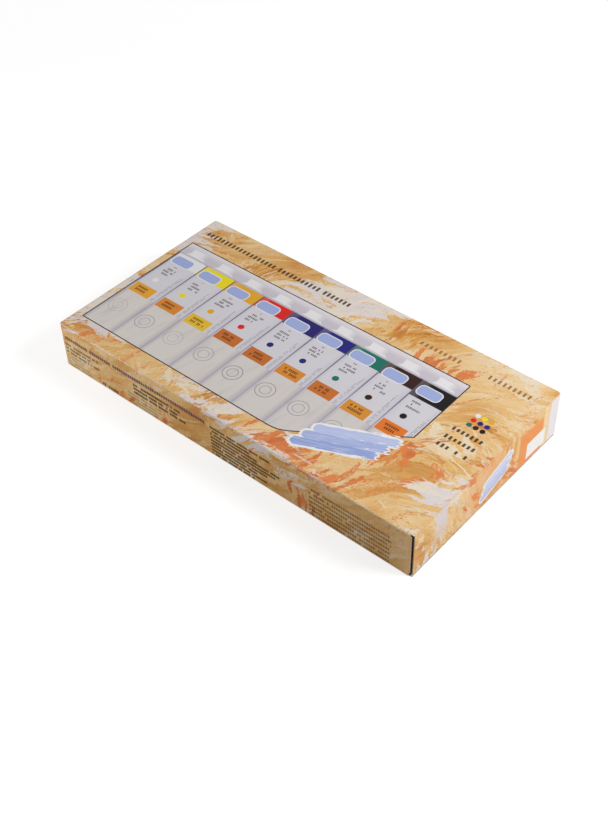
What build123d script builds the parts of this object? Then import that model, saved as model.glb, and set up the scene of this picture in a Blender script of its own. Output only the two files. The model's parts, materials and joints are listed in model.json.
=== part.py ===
from build123d import *
import math
import os

# A set of nine oil paint tubes in a printed folding carton with tucked ends.
# The carton lies flat: x runs along its length, y from the long front side to
# the back, z up. The origin is at the centre of the base. Sizes in millimetres.

os.makedirs("parts", exist_ok=True)

# Carton, outside sizes from crease to crease
carton_length = 290.0
carton_width = 150.0
carton_height = 35.0
board = 0.5
crease_radius = 1.0
crease_gap = 0.1

# Closure panel and its tuck tongue, the same at both ends
closure_side_inset = 1.5
closure_floor_gap = 0.1
tongue_depth = 12.0
tongue_tilt = 17.0
tongue_side_inset = 2.0
tongue_corner_radius = 8.0

# Dust flaps, folded in behind the closure panel
flap_length = 32.0
flap_closure_gap = 0.6
flap_push_in = 10.0
flap_top_inset = 1.2
flap_bottom_inset = 2.8
flap_top_taper = 18.0
flap_bottom_taper = 6.0
flap_corner_radius = 4.0

# Glue flap inside the back side
glue_flap_height = 15.0
glue_flap_taper = 15.0
glue_flap_corner_radius = 2.0

# Collapsible tubes
tube_colours = ["white", "lemon", "ochre", "red", "violet", "ultramarine", "green", "umber", "black"]
tube_gap = 0.9
tube_row_end_room = 15.4
tube_wall = 0.3
tube_floor_gap = 0.1
tube_end_gap = 1.65
tube_taper_length = 58.0
taper_stations = 3
shoulder_height = 6.0
shoulder_step = 0.3
neck_diameter = 12.0
neck_bore = 6.0
foot_slant = 40.0
foot_height = 5.0
foot_thickness = 2.0
foot_side_trim = 0.6
foot_edge_radius = 0.5
foot_root_thickness = 1.4
section_flat = 0.05
foot_groove_count = 2
foot_groove_pitch = 2.0
foot_groove_width = 0.8
foot_groove_depth = 0.25
paint_clearance = 0.1

# Screw caps
cap_height = 14.0
cap_base_diameter = 19.0
cap_top_diameter = 18.2
cap_top_thickness = 2.0
cap_skirt_wall = 1.2
cap_sleeve_wall = 1.0
cap_neck_clearance = 0.08
cap_seal_gap = 0.1
cap_shoulder_gap = 0.2
cap_edge_radius = 0.8
cap_dish_diameter = 11.0
cap_dish_depth = 0.5
flute_count = 20
flute_radius = 0.9
flute_depth = 0.6
flute_top_margin = 2.4

# Places that follow from the sizes above
half_length = carton_length / 2
half_width = carton_width / 2
flat_half_width = half_width - crease_radius
flap_crease_x = half_length - board - flap_closure_gap
side_end_x = flap_crease_x - crease_radius
closure_floor = board + closure_floor_gap
glue_crease_y = half_width - board
glue_flat_y = glue_crease_y - crease_radius
fold_overlap = 2 * crease_radius

tube_count = len(tube_colours)
tube_pitch = (carton_length - 2 * tube_row_end_room + tube_gap) / tube_count
tube_diameter = tube_pitch - tube_gap
tube_radius = tube_diameter / 2
neck_radius = neck_diameter / 2
foot_width = math.pi * tube_radius - 2 * foot_side_trim
foot_rise = (foot_width * math.sin(math.radians(foot_slant)) / 2
             + foot_thickness * math.cos(math.radians(foot_slant)) / 2)
tube_axis_z = board + tube_floor_gap + max(tube_radius, foot_rise)
inside_front_y = -half_width + board
inside_back_y = glue_crease_y - board
foot_y = inside_front_y + tube_end_gap
cap_at = inside_back_y - tube_end_gap - cap_height - foot_y
neck_at = cap_at - cap_shoulder_gap
shoulder_at = neck_at - shoulder_height
tube_straight_length = shoulder_at - tube_taper_length - foot_height
neck_height = cap_shoulder_gap + cap_height - cap_top_thickness - cap_seal_gap


def save(builder, name):
    """Name a finished piece and write it to its own file."""
    builder.part.label = name
    export_step(builder.part, f"parts/{name}.step")


def cut_at_crease(corner, kept_leg, other_leg):
    """Cut folded board on the plane that halves a crease, and keep one leg of the fold."""
    facing = (kept_leg.normalized() - other_leg.normalized()).normalized()
    middle = Plane(origin=corner + facing * crease_gap / 2, z_dir=facing)
    split(bisect_by=middle, keep=Keep.TOP)


# Top and bottom panels

def make_top_panel():
    """Flat board whose two ends roll over into the creases of the closure panels."""
    drop = carton_height - fold_overlap
    with BuildPart() as top_panel:
        with BuildSketch(Plane.XZ):
            with BuildLine():
                FilletPolyline(
                    (-half_length, drop),
                    (-half_length, carton_height),
                    (half_length, carton_height),
                    (half_length, drop),
                    radius=crease_radius,
                )
                offset(amount=board, side=Side.RIGHT)
            make_face()
        extrude(amount=flat_half_width, both=True)
        for end in (-1, 1):
            corner = Vector(end * half_length, 0, carton_height)
            cut_at_crease(corner, Vector(-end, 0, 0), Vector(0, 0, -1))
    save(top_panel, "top_panel")


def make_bottom_panel():
    """Flat board with raw ends, between the front crease and the crease of the glue flap."""
    with BuildPart() as bottom_panel:
        with BuildSketch():
            with BuildLine():
                Polyline(
                    (-half_length, -flat_half_width),
                    (half_length, -flat_half_width),
                    (half_length, glue_flat_y),
                    (-half_length, glue_flat_y),
                    close=True,
                )
            make_face()
        extrude(amount=board)
    save(bottom_panel, "bottom_panel")


# Dust flaps and the lips that carry them. An end is -1 or 1 along x, a side is -1 or 1 along y.

def flap_fold_points(end, side):
    """Outside points of the fold from a long side into its dust flap, seen from above."""
    slant = math.radians(flap_push_in)
    start = Vector(end * (flap_crease_x - fold_overlap), side * half_width)
    corner = Vector(end * flap_crease_x, side * half_width)
    tip = corner - Vector(end * flap_length * math.sin(slant), side * flap_length * math.cos(slant))
    return start, corner, tip


def flap_fold(end, side):
    """Board folded round the crease of a dust flap, as tall as the flap."""
    start, corner, tip = flap_fold_points(end, side)
    inside = Side.RIGHT if end * side > 0 else Side.LEFT
    with BuildPart() as fold:
        with BuildSketch(Plane.XY.offset(flap_bottom_inset)):
            with BuildLine():
                FilletPolyline(start, corner, tip, radius=crease_radius)
                offset(amount=board, side=inside)
            make_face()
        extrude(amount=carton_height - flap_top_inset - flap_bottom_inset)
    return fold.part


def make_dust_flap(end_name, end, side_name, side):
    """Dust flap, straight beside its crease and tapered towards its rounded tip."""
    start, corner, tip = flap_fold_points(end, side)
    top = carton_height - flap_top_inset
    fall = flap_length * math.tan(math.radians(flap_top_taper))
    rise = flap_length * math.tan(math.radians(flap_bottom_taper))
    with BuildPart() as dust_flap:
        add(flap_fold(end, side))
        cut_at_crease(corner, tip - corner, start - corner)
        with BuildSketch(Plane.YZ) as outline:
            with BuildLine():
                Polyline(
                    (side * (half_width + board), flap_bottom_inset),
                    (side * (half_width + board), top),
                    (side * half_width, top),
                    (tip.Y, top - fall),
                    (tip.Y, flap_bottom_inset + rise),
                    (side * half_width, flap_bottom_inset),
                    close=True,
                )
            make_face()
            fillet(outline.vertices().sort_by(Axis.X, reverse=side < 0)[:2], radius=flap_corner_radius)
        extrude(amount=half_length, both=True, mode=Mode.INTERSECT)
    save(dust_flap, f"{end_name}_{side_name}_dust_flap")


def make_side_panel(side_name, side):
    """Long side of the sleeve, with its rolled long creases and a lip at each dust flap."""
    outside_y = side * half_width
    inner_y = side * (half_width - fold_overlap)
    profile = [(outside_y, 0), (outside_y, carton_height), (inner_y, carton_height)]
    if side < 0:
        profile.insert(0, (inner_y, 0))
    flat_edge = Plane(origin=(0, side * flat_half_width, 0), z_dir=(0, side, 0))
    with BuildPart() as side_panel:
        with BuildSketch(Plane.YZ):
            with BuildLine():
                FilletPolyline(*profile, radius=crease_radius)
                offset(amount=board, side=Side.RIGHT if side < 0 else Side.LEFT)
            make_face()
        extrude(amount=side_end_x, both=True)
        split(bisect_by=flat_edge, keep=Keep.TOP)
        for end in (-1, 1):
            add(make_flap_lip(end, side))
    save(side_panel, f"{side_name}_side_panel")


def make_flap_lip(end, side):
    """Half of a dust flap's crease, the half that stays with the long side."""
    start, corner, tip = flap_fold_points(end, side)
    with BuildPart() as lip:
        add(flap_fold(end, side))
        cut_at_crease(corner, start - corner, tip - corner)
    return lip.part


# Glue flap

def make_glue_flap():
    """Flap that rises from the bottom panel's back crease and is glued inside the back side."""
    slope = glue_flap_height * math.tan(math.radians(glue_flap_taper))
    flat_edge = Plane(origin=(0, glue_flat_y, 0), z_dir=(0, 1, 0))
    with BuildPart() as glue_flap:
        with BuildSketch(Plane.YZ):
            with BuildLine():
                FilletPolyline(
                    (glue_crease_y - fold_overlap, 0),
                    (glue_crease_y, 0),
                    (glue_crease_y, glue_flap_height),
                    radius=crease_radius,
                )
                offset(amount=board, side=Side.LEFT)
            make_face()
        extrude(amount=side_end_x, both=True)
        split(bisect_by=flat_edge, keep=Keep.TOP)
        with BuildSketch(Plane.XZ) as outline:
            with BuildLine():
                Polyline(
                    (-side_end_x, 0),
                    (side_end_x, 0),
                    (side_end_x - slope, glue_flap_height),
                    (slope - side_end_x, glue_flap_height),
                    close=True,
                )
            make_face()
            fillet(outline.vertices().group_by(Axis.Y)[-1], radius=glue_flap_corner_radius)
        extrude(amount=half_width, both=True, mode=Mode.INTERSECT)
    save(glue_flap, "glue_flap")


# Closure panels and tuck tongues

def closure_fold_points(end):
    """Outside points of the strip that closes an end: top leg, two corners and the tongue's tip."""
    tilt = math.radians(tongue_tilt)
    top_leg = Vector(end * (half_length - fold_overlap), 0, carton_height)
    top_corner = Vector(end * half_length, 0, carton_height)
    low_corner = Vector(end * half_length, 0, closure_floor)
    tip = low_corner + Vector(-end * tongue_depth * math.cos(tilt), 0, tongue_depth * math.sin(tilt))
    return top_leg, top_corner, low_corner, tip


def closure_fold(end):
    """Board folded down over an end and in over the bottom panel, as wide as the closure."""
    strip = [(point.X, point.Z) for point in closure_fold_points(end)]
    with BuildPart() as fold:
        with BuildSketch(Plane.XZ):
            with BuildLine():
                FilletPolyline(*strip, radius=crease_radius)
                offset(amount=board, side=Side.RIGHT if end > 0 else Side.LEFT)
            make_face()
        extrude(amount=half_width - closure_side_inset, both=True)
    return fold.part


def make_closure_panel(end_name, end):
    """Panel that hinges on the top panel's end and covers the mouth of the sleeve."""
    top_leg, top_corner, low_corner, tip = closure_fold_points(end)
    with BuildPart() as closure_panel:
        add(closure_fold(end))
        cut_at_crease(top_corner, low_corner - top_corner, top_leg - top_corner)
        cut_at_crease(low_corner, top_corner - low_corner, tip - low_corner)
    save(closure_panel, f"{end_name}_closure_panel")


def make_tuck_tongue(end_name, end):
    """Tongue with rounded corners that tucks in over the bottom panel."""
    top_leg, top_corner, low_corner, tip = closure_fold_points(end)
    half_span = half_width - closure_side_inset - tongue_side_inset
    with BuildPart() as tuck_tongue:
        add(closure_fold(end))
        cut_at_crease(low_corner, tip - low_corner, top_corner - low_corner)
        with BuildSketch() as outline:
            with BuildLine():
                Polyline(
                    (end * half_length, -half_span),
                    (end * half_length, half_span),
                    (tip.X, half_span),
                    (tip.X, -half_span),
                    close=True,
                )
            make_face()
            fillet(outline.vertices().sort_by(Axis.X, reverse=end < 0)[:2], radius=tongue_corner_radius)
        extrude(amount=carton_height, mode=Mode.INTERSECT)
    save(tuck_tongue, f"{end_name}_tuck_tongue")


# Collapsible tubes. Each lies along y with its foot at the front and its cap at the back.

def tube_plane(x, along):
    """Plane across a tube, at a distance from its foot, with its x along the flattened foot."""
    slant = math.radians(foot_slant)
    return Plane(
        origin=(x, foot_y + along, tube_axis_z),
        x_dir=(math.cos(slant), 0, math.sin(slant)),
        z_dir=(0, 1, 0),
    )


def tube_side_plane(x):
    """Plane through a tube's axis, with its x across the tube and its y along it."""
    return Plane(origin=(x, foot_y, tube_axis_z), x_dir=(1, 0, 0), z_dir=(0, 0, 1))


def tube_axis(x):
    """Axis of a tube, from its foot to its cap."""
    return Axis((x, foot_y, tube_axis_z), (0, 1, 0))


def body_section(share, inset):
    """Width, thickness and corner radius of the body, as a share of its taper from flat to round.

    The girth stays that of the round body, as it does when a tube is pressed flat.
    """
    thinnest = foot_root_thickness / 2
    half_thickness = thinnest + (tube_radius - thinnest) * math.sin(share * math.pi / 2)
    half_span = half_thickness + (tube_radius - half_thickness) * math.pi / 2
    half_thickness -= inset
    return 2 * (half_span - inset), 2 * half_thickness, half_thickness - section_flat


def tube_form(x, inset):
    """Closed form of a tube's body from foot to shoulder, drawn in from its skin by an inset."""
    shoulder_radius = tube_radius - shoulder_step - inset
    with BuildPart() as form:
        for station in range(taper_stations):
            share = station / (taper_stations - 1)
            along = foot_height + inset + (tube_taper_length - inset) * share
            with BuildSketch(tube_plane(x, along)):
                RectangleRounded(*body_section(share, inset))
        loft()
        with BuildSketch(tube_plane(x, foot_height + tube_taper_length)):
            RectangleRounded(*body_section(1, inset))
        extrude(amount=tube_straight_length - inset)
        with BuildSketch(tube_side_plane(x)):
            with BuildLine():
                Polyline(
                    (0, shoulder_at - inset),
                    (shoulder_radius, shoulder_at - inset),
                    (neck_radius - inset, neck_at - inset),
                    (0, neck_at - inset),
                    close=True,
                )
            make_face()
        revolve(axis=tube_axis(x))
    return form.part


def make_tube(colour, x):
    """Aluminium tube: crimped foot, body that swells from flat to round, shoulder and neck."""
    with BuildPart() as tube:
        add(tube_form(x, 0))
        with BuildSketch(tube_plane(x, 0)):
            RectangleRounded(foot_width, foot_thickness, foot_edge_radius)
        extrude(amount=foot_height)
        for groove in range(foot_groove_count):
            offset_from_middle = (groove - (foot_groove_count - 1) / 2) * foot_groove_pitch
            groove_at = (foot_height - foot_groove_width) / 2 + offset_from_middle
            with BuildSketch(tube_plane(x, groove_at)):
                with GridLocations(0, foot_thickness, 1, 2):
                    Rectangle(foot_width, 2 * foot_groove_depth)
            extrude(amount=foot_groove_width, mode=Mode.SUBTRACT)
        with BuildSketch(tube_plane(x, neck_at)):
            Circle(neck_radius)
        extrude(amount=neck_height)
        add(tube_form(x, tube_wall), mode=Mode.SUBTRACT)
        with BuildSketch(tube_plane(x, shoulder_at)):
            Circle(neck_bore / 2)
        extrude(amount=shoulder_height + neck_height, mode=Mode.SUBTRACT)
    save(tube, f"tube_{colour}")


def make_paint(colour, x):
    """Paint that fills a tube up to its shoulder."""
    with BuildPart() as paint:
        add(tube_form(x, tube_wall + paint_clearance))
    save(paint, f"paint_{colour}")


# Screw caps

def make_cap(colour, x):
    """Fluted screw cap with a threaded sleeve inside its skirt and a dished top."""
    base_radius = cap_base_diameter / 2
    top_radius = cap_top_diameter / 2
    bore_radius = neck_radius + cap_neck_clearance
    hollow_depth = cap_height - cap_top_thickness
    cap_plane = Plane(origin=(x, foot_y + cap_at, tube_axis_z), x_dir=(1, 0, 0), z_dir=(0, 1, 0))
    with BuildPart() as cap:
        with BuildSketch(tube_side_plane(x)) as profile:
            with BuildLine():
                Polyline(
                    (0, cap_at),
                    (base_radius, cap_at),
                    (top_radius, cap_at + cap_height),
                    (0, cap_at + cap_height),
                    close=True,
                )
            make_face()
        revolve(axis=tube_axis(x))
        fillet(cap.edges().sort_by(Axis.Y)[-1], radius=cap_edge_radius)
        with BuildSketch(cap_plane):
            with PolarLocations(base_radius + flute_radius - flute_depth, flute_count):
                Circle(flute_radius)
        extrude(amount=cap_height - flute_top_margin, mode=Mode.SUBTRACT)
        with BuildSketch(cap_plane):
            Circle(bore_radius)
            Circle(base_radius - flute_depth - cap_skirt_wall)
            Circle(bore_radius + cap_sleeve_wall, mode=Mode.SUBTRACT)
            Circle(bore_radius)
        extrude(amount=hollow_depth, mode=Mode.SUBTRACT)
        with BuildSketch(cap_plane.offset(cap_height - cap_dish_depth)):
            Circle(cap_dish_diameter / 2)
        extrude(amount=cap_dish_depth, mode=Mode.SUBTRACT)
    save(cap, f"cap_{colour}")


make_top_panel()
make_bottom_panel()
make_glue_flap()
for side_name, side in (("front", -1), ("back", 1)):
    make_side_panel(side_name, side)
for end_name, end in (("left", -1), ("right", 1)):
    make_closure_panel(end_name, end)
    make_tuck_tongue(end_name, end)
    for side_name, side in (("front", -1), ("back", 1)):
        make_dust_flap(end_name, end, side_name, side)
for number, colour in enumerate(tube_colours):
    tube_x = (number - (tube_count - 1) / 2) * tube_pitch
    make_tube(colour, tube_x)
    make_paint(colour, tube_x)
    make_cap(colour, tube_x)
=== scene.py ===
import json
import logging
import math
from dataclasses import dataclass
from enum import Enum
from functools import cache

import bmesh
import bpy
from mathutils import Matrix, Vector, noise


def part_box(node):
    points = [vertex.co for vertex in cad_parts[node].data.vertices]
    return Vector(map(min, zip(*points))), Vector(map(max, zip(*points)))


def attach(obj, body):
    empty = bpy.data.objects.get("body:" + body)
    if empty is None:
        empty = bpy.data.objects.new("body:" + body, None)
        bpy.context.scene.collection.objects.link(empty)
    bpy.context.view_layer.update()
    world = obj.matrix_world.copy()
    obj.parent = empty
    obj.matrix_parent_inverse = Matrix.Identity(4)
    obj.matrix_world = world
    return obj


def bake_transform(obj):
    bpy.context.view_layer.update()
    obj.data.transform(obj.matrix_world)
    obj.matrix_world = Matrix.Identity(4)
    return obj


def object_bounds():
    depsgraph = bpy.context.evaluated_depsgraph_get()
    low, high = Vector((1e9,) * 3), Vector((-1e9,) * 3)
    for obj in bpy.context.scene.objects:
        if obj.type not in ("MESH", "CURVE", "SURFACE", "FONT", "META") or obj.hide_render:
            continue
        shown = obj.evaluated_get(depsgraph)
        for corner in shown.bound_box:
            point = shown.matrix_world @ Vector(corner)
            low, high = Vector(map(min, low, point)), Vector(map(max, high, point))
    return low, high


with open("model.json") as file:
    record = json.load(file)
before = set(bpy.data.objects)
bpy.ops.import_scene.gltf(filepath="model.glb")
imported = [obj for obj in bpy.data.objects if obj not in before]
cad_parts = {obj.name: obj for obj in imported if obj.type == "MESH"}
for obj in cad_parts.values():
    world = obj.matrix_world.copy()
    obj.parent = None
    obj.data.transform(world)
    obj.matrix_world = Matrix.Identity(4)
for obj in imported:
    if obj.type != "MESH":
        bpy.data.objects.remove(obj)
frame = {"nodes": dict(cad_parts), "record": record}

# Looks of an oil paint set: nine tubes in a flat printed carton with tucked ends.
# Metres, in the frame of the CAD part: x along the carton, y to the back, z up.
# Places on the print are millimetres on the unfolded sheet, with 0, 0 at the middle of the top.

CAD_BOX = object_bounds()
MM = 0.001
HALF_LENGTH = CAD_BOX[1].x / MM
HALF_WIDTH = CAD_BOX[1].y / MM
SHEET = "sheet"
SHARP_TURN = math.radians(50)
ENDS = {"left": -1, "right": 1}
SIDES = {"front": -1, "back": 1}
Colour = tuple[float, float, float, float]
Point = tuple[float, float, float]

log = logging.getLogger("paint_set")


def ink(code: str) -> Colour:
    """Turn a six-digit sRGB code into the linear colour that a shader takes.

    Args:
        code: six hexadecimal digits, two each for red, green and blue.

    Returns:
        Linear red, green and blue, and an alpha of 1.
    """
    channels = [int(code[start:start + 2], 16) / 255 for start in (0, 2, 4)]
    linear = [c / 12.92 if c <= 0.04045 else ((c + 0.055) / 1.055) ** 2.4 for c in channels]
    return (*linear, 1.0)


def grey(level: float) -> Colour:
    """A linear grey."""
    return (level, level, level, 1.0)


def put_in_scene(name: str, data: bpy.types.ID) -> bpy.types.Object:
    """Make an object from a mesh, a camera or a lamp, and link it to the scene.

    Args:
        name: the object's name.
        data: what it shows.

    Returns:
        The new object.
    """
    thing = bpy.data.objects.new(name, data)
    bpy.context.scene.collection.objects.link(thing)
    return thing


# Shader wiring

class Signal:
    """A value, vector or colour on its way through a shader tree. Arithmetic on it adds Math nodes."""

    def __init__(self, bench: "Bench", socket: bpy.types.NodeSocket) -> None:
        """Keep the socket and the bench that wires it."""
        self.bench = bench
        self.socket = socket

    def __add__(self, other: "Value") -> "Signal":
        """Sum of two values."""
        return self.bench.maths("ADD", self, other)

    def __sub__(self, other: "Value") -> "Signal":
        """Difference of two values."""
        return self.bench.maths("SUBTRACT", self, other)

    def __rsub__(self, other: "Value") -> "Signal":
        """Difference of a plain number and this value."""
        return self.bench.maths("SUBTRACT", other, self)

    def __mul__(self, other: "Value") -> "Signal":
        """Product of two values."""
        return self.bench.maths("MULTIPLY", self, other)

    def __truediv__(self, other: "Value") -> "Signal":
        """Quotient of two values."""
        return self.bench.maths("DIVIDE", self, other)

    def __abs__(self) -> "Signal":
        """The value without its sign."""
        return self.bench.maths("ABSOLUTE", self)


Value = Signal | float | tuple[float, ...]


class Bench:
    """Adds nodes to one shader tree and wires them up."""

    def __init__(self, tree: bpy.types.NodeTree) -> None:
        """Keep the tree that this bench works on."""
        self.tree = tree

    def add(self, kind: str, feeds: dict | None = None, **settings: object) -> bpy.types.Node:
        """Add a node.

        Args:
            kind: the node's type.
            feeds: values or signals by input name or number.
            **settings: the node's own properties.

        Returns:
            The new node.
        """
        node = self.tree.nodes.new(kind)
        for name, setting in settings.items():
            setattr(node, name, setting)
        for key, value in (feeds or {}).items():
            self.feed(node.inputs[key], value)
        return node

    def feed(self, socket: bpy.types.NodeSocket, value: Value) -> None:
        """Link a signal to an input, or set the input to a plain value.

        Args:
            socket: the input.
            value: the signal or plain value.
        """
        if isinstance(value, Signal):
            self.tree.links.new(value.socket, socket)
        else:
            socket.default_value = value

    def out(self, node: bpy.types.Node, key: int | str = 0) -> Signal:
        """One output of a node as a signal."""
        return Signal(self, node.outputs[key])

    def maths(self, operation: str, *values: Value) -> Signal:
        """A Math node on one to three values."""
        return self.out(self.add("ShaderNodeMath", dict(enumerate(values)), operation=operation))

    def most(self, first: Value, second: Value) -> Signal:
        """The larger of two values."""
        return self.maths("MAXIMUM", first, second)

    def least(self, first: Value, second: Value) -> Signal:
        """The smaller of two values."""
        return self.maths("MINIMUM", first, second)

    def away(self, x: Signal, y: Signal) -> Signal:
        """Distance of x, y from 0, 0."""
        return self.maths("SQRT", x * x + y * y)

    def cells(self, value: Signal) -> tuple[Signal, Signal]:
        """The whole number below a value, and how far the value is past the middle of that cell."""
        number = self.maths("FLOOR", value)
        return number, value - number - 0.5

    def vector(self, operation: str, feeds: dict, key: int | str = 0) -> Signal:
        """One output of a Vector Math node."""
        return self.out(self.add("ShaderNodeVectorMath", feeds, operation=operation), key)

    def drifted(self, vector: Signal, drift: Signal, amount: float) -> Signal:
        """A vector moved by up to half an amount either way, as a noise colour says."""
        pushed = self.vector("MULTIPLY_ADD", {0: drift, 1: (amount,) * 3, 2: (-amount / 2,) * 3})
        return self.vector("ADD", {0: vector, 1: pushed})

    def in_mm(self, place: Signal) -> Signal:
        """A place in metres as a place in millimetres."""
        return self.vector("SCALE", {0: place, "Scale": 1 / MM})

    def coordinates(self, kind: str) -> Signal:
        """The surface's own coordinates of one kind."""
        return self.out(self.add("ShaderNodeTexCoord"), kind)

    def on_object(self) -> Signal:
        """Places on the object, in millimetres."""
        return self.in_mm(self.coordinates("Object"))

    def camera_ray(self) -> Signal:
        """1 where the camera itself sees the surface and 0 for reflections and light."""
        return self.out(self.add("ShaderNodeLightPath"), "Is Camera Ray")

    def axes(self, vector: Signal) -> tuple[Signal, Signal, Signal]:
        """The three numbers of a vector."""
        node = self.add("ShaderNodeSeparateXYZ", {0: vector})
        return self.out(node, 0), self.out(node, 1), self.out(node, 2)

    def joined(self, x: Value, y: Value, z: Value = 0.0) -> Signal:
        """A vector of three numbers."""
        return self.out(self.add("ShaderNodeCombineXYZ", {0: x, 1: y, 2: z}))

    def turned(self, vector: Signal, origin: tuple[float, float], degrees: float,
               scale: tuple[float, float] = (1.0, 1.0)) -> Signal:
        """See places on the sheet from an origin, along a slanted axis, in units of a scale.

        Args:
            vector: places on the sheet.
            origin: the place that becomes 0, 0.
            degrees: slant of the new x axis.
            scale: one new unit along each axis.

        Returns:
            The same places as they are seen from there.
        """
        turn = (0.0, 0.0, math.radians(degrees))
        feeds = {"Vector": vector, "Location": (*origin, 0.0), "Rotation": turn, "Scale": (*scale, 1.0)}
        return self.out(self.add("ShaderNodeMapping", feeds, vector_type="TEXTURE"))

    def rise(self, value: Value, start: Value, end: Value) -> Signal:
        """0 before start, 1 after end and smooth between. Start may be the larger of the two."""
        feeds = {"Value": value, "From Min": start, "From Max": end}
        return self.out(self.add("ShaderNodeMapRange", feeds, interpolation_type="SMOOTHSTEP"))

    def between(self, value: Value, low: Value, high: Value, soft: float = 0.2) -> Signal:
        """1 from low to high and 0 elsewhere, with soft edges."""
        above = self.rise(value - low, -soft / 2, soft / 2)
        return above * self.rise(high - value, -soft / 2, soft / 2)

    def inside(self, distance: Signal, soft: float = 0.2) -> Signal:
        """1 where a distance is negative and 0 where it is positive, with a soft edge."""
        return self.rise(distance, soft / 2, -soft / 2)

    def grain(self, place: Signal, scale: float, detail: float = 2.0, roughness: float = 0.5) -> Signal:
        """Cloudy noise from 0 to 1."""
        feeds = {"Vector": place, "Scale": scale, "Detail": detail, "Roughness": roughness}
        return self.out(self.add("ShaderNodeTexNoise", feeds), 0)

    def drift(self, place: Signal, scale: float, detail: float = 2.0) -> Signal:
        """Cloudy noise as a colour, to move other places by."""
        feeds = {"Vector": place, "Scale": scale, "Detail": detail}
        return self.out(self.add("ShaderNodeTexNoise", feeds), 1)

    def streaks(self, place: Signal, degrees: float, length: float, width: float, seed: float,
                detail: float = 3.0) -> Signal:
        """Draw noise out along one direction, like the marks of a brush.

        Args:
            place: places on the sheet.
            degrees: direction of the marks.
            length: length of a mark.
            width: width of a mark.
            seed: moves the pattern, so that layers differ.
            detail: octaves of the noise.

        Returns:
            Noise from 0 to 1.
        """
        return self.grain(self.turned(place, (seed, -seed), degrees, (length, width)), 1.0, detail, 0.55)

    def daubs(self, place: Signal, degrees: float, length: float, width: float,
              seed: float) -> tuple[Signal, Signal]:
        """Lay short strokes side by side, each with random numbers of its own.

        Args:
            place: places on the sheet.
            degrees: direction of the strokes.
            length: length of a stroke.
            width: width of a stroke.
            seed: moves the pattern, so that layers differ.

        Returns:
            Two random numbers from 0 to 1 for the stroke that covers the place.
        """
        drawn = self.turned(place, (seed, -seed), degrees, (length, width))
        cells = self.add("ShaderNodeTexVoronoi", {"Vector": drawn, "Scale": 1.0}, voronoi_dimensions="2D")
        parts = self.add("ShaderNodeSeparateColor", {0: self.out(cells, "Color")})
        return self.out(parts, 0), self.out(parts, 1)

    def chance(self, x: Value, y: Value) -> Signal:
        """One random number from 0 to 1 for each pair of whole numbers."""
        feeds = {"Vector": self.joined(x, y)}
        return self.out(self.add("ShaderNodeTexWhiteNoise", feeds, noise_dimensions="2D"), 0)

    def mix(self, share: Value, first: Value, second: Value, blend: str = "MIX") -> Signal:
        """Blend of two colours."""
        feeds = {0: share, 6: first, 7: second}
        return self.out(self.add("ShaderNodeMix", feeds, data_type="RGBA", blend_type=blend), 2)

    def layered(self, base: Value, *layers: tuple[Value, Value]) -> Signal:
        """Lay colours over one another.

        Args:
            base: the lowest colour.
            *layers: pairs of a mask and the colour that shows where it is 1, from the lowest up.

        Returns:
            The colour seen from above.
        """
        for mask, colour in layers:
            base = self.mix(mask, base, colour)
        return base

    def palette(self, value: Signal, stops: list[tuple[float, Colour]], stepped: bool = False) -> Signal:
        """Colour by value.

        Args:
            value: where to look on the scale.
            stops: places on the scale from 0 to 1 and their colours, in order.
            stepped: hold each colour up to the next stop.

        Returns:
            The colour.
        """
        node = self.add("ShaderNodeValToRGB", {"Fac": value})
        ramp = node.color_ramp
        ramp.interpolation = "CONSTANT" if stepped else "LINEAR"
        ramp.elements.remove(ramp.elements[1])
        ramp.elements[0].position = stops[0][0]
        ramp.elements[0].color = stops[0][1]
        for place, colour in stops[1:]:
            ramp.elements.new(place).color = colour
        return self.out(node, "Color")

    def bump(self, height: Signal, depth: float, strength: float = 1.0) -> Signal:
        """Normal of a surface with a fine relief, depth in metres."""
        feeds = {"Height": height, "Distance": depth, "Strength": strength}
        return self.out(self.add("ShaderNodeBump", feeds), "Normal")


# Effects that materials share

class Effect:
    """A shader node group with named inputs and outputs, built when it is first placed."""

    title = ""
    takes: dict[str, float | Point] = {}
    gives: dict[str, str] = {}
    built: dict[str, bpy.types.NodeTree] = {}

    def draw(self, bench: Bench, given: dict[str, Signal]) -> dict[str, Signal]:
        """Wire up the group.

        Args:
            bench: bench of the group's tree.
            given: the group's inputs by name, in the order of takes.

        Returns:
            The group's outputs by name.
        """
        raise NotImplementedError

    def tree(self) -> bpy.types.NodeTree:
        """Make the group's tree on first use.

        Returns:
            The tree.
        """
        if self.title not in Effect.built:
            tree = bpy.data.node_groups.new(self.title, "ShaderNodeTree")
            for name, default in self.takes.items():
                kind = "NodeSocketVector" if isinstance(default, tuple) else "NodeSocketFloat"
                socket = tree.interface.new_socket(name=name, in_out="INPUT", socket_type=kind)
                socket.default_value = default
            for name, kind in self.gives.items():
                tree.interface.new_socket(name=name, in_out="OUTPUT", socket_type=kind)
            bench = Bench(tree)
            source = bench.add("NodeGroupInput")
            results = self.draw(bench, {name: bench.out(source, name) for name in self.takes})
            bench.add("NodeGroupOutput", results)
            Effect.built[self.title] = tree
        return Effect.built[self.title]

    def place(self, bench: Bench, **feeds: Value) -> dict[str, Signal]:
        """Put the group into another tree.

        Args:
            bench: bench of that tree.
            **feeds: values or signals by the input's name in small letters.

        Returns:
            The outputs by name.
        """
        node = bench.add("ShaderNodeGroup", node_tree=self.tree())
        for name, value in feeds.items():
            bench.feed(node.inputs[name.capitalize()], value)
        return {name: bench.out(node, name) for name in self.gives}

    def only(self, bench: Bench, **feeds: Value) -> Signal:
        """Put a group with one output into another tree and take that output."""
        return next(iter(self.place(bench, **feeds).values()))


NOWHERE = (0.0, 0.0, 0.0)
A_COLOUR = "NodeSocketColor"
A_NUMBER = "NodeSocketFloat"


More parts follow.
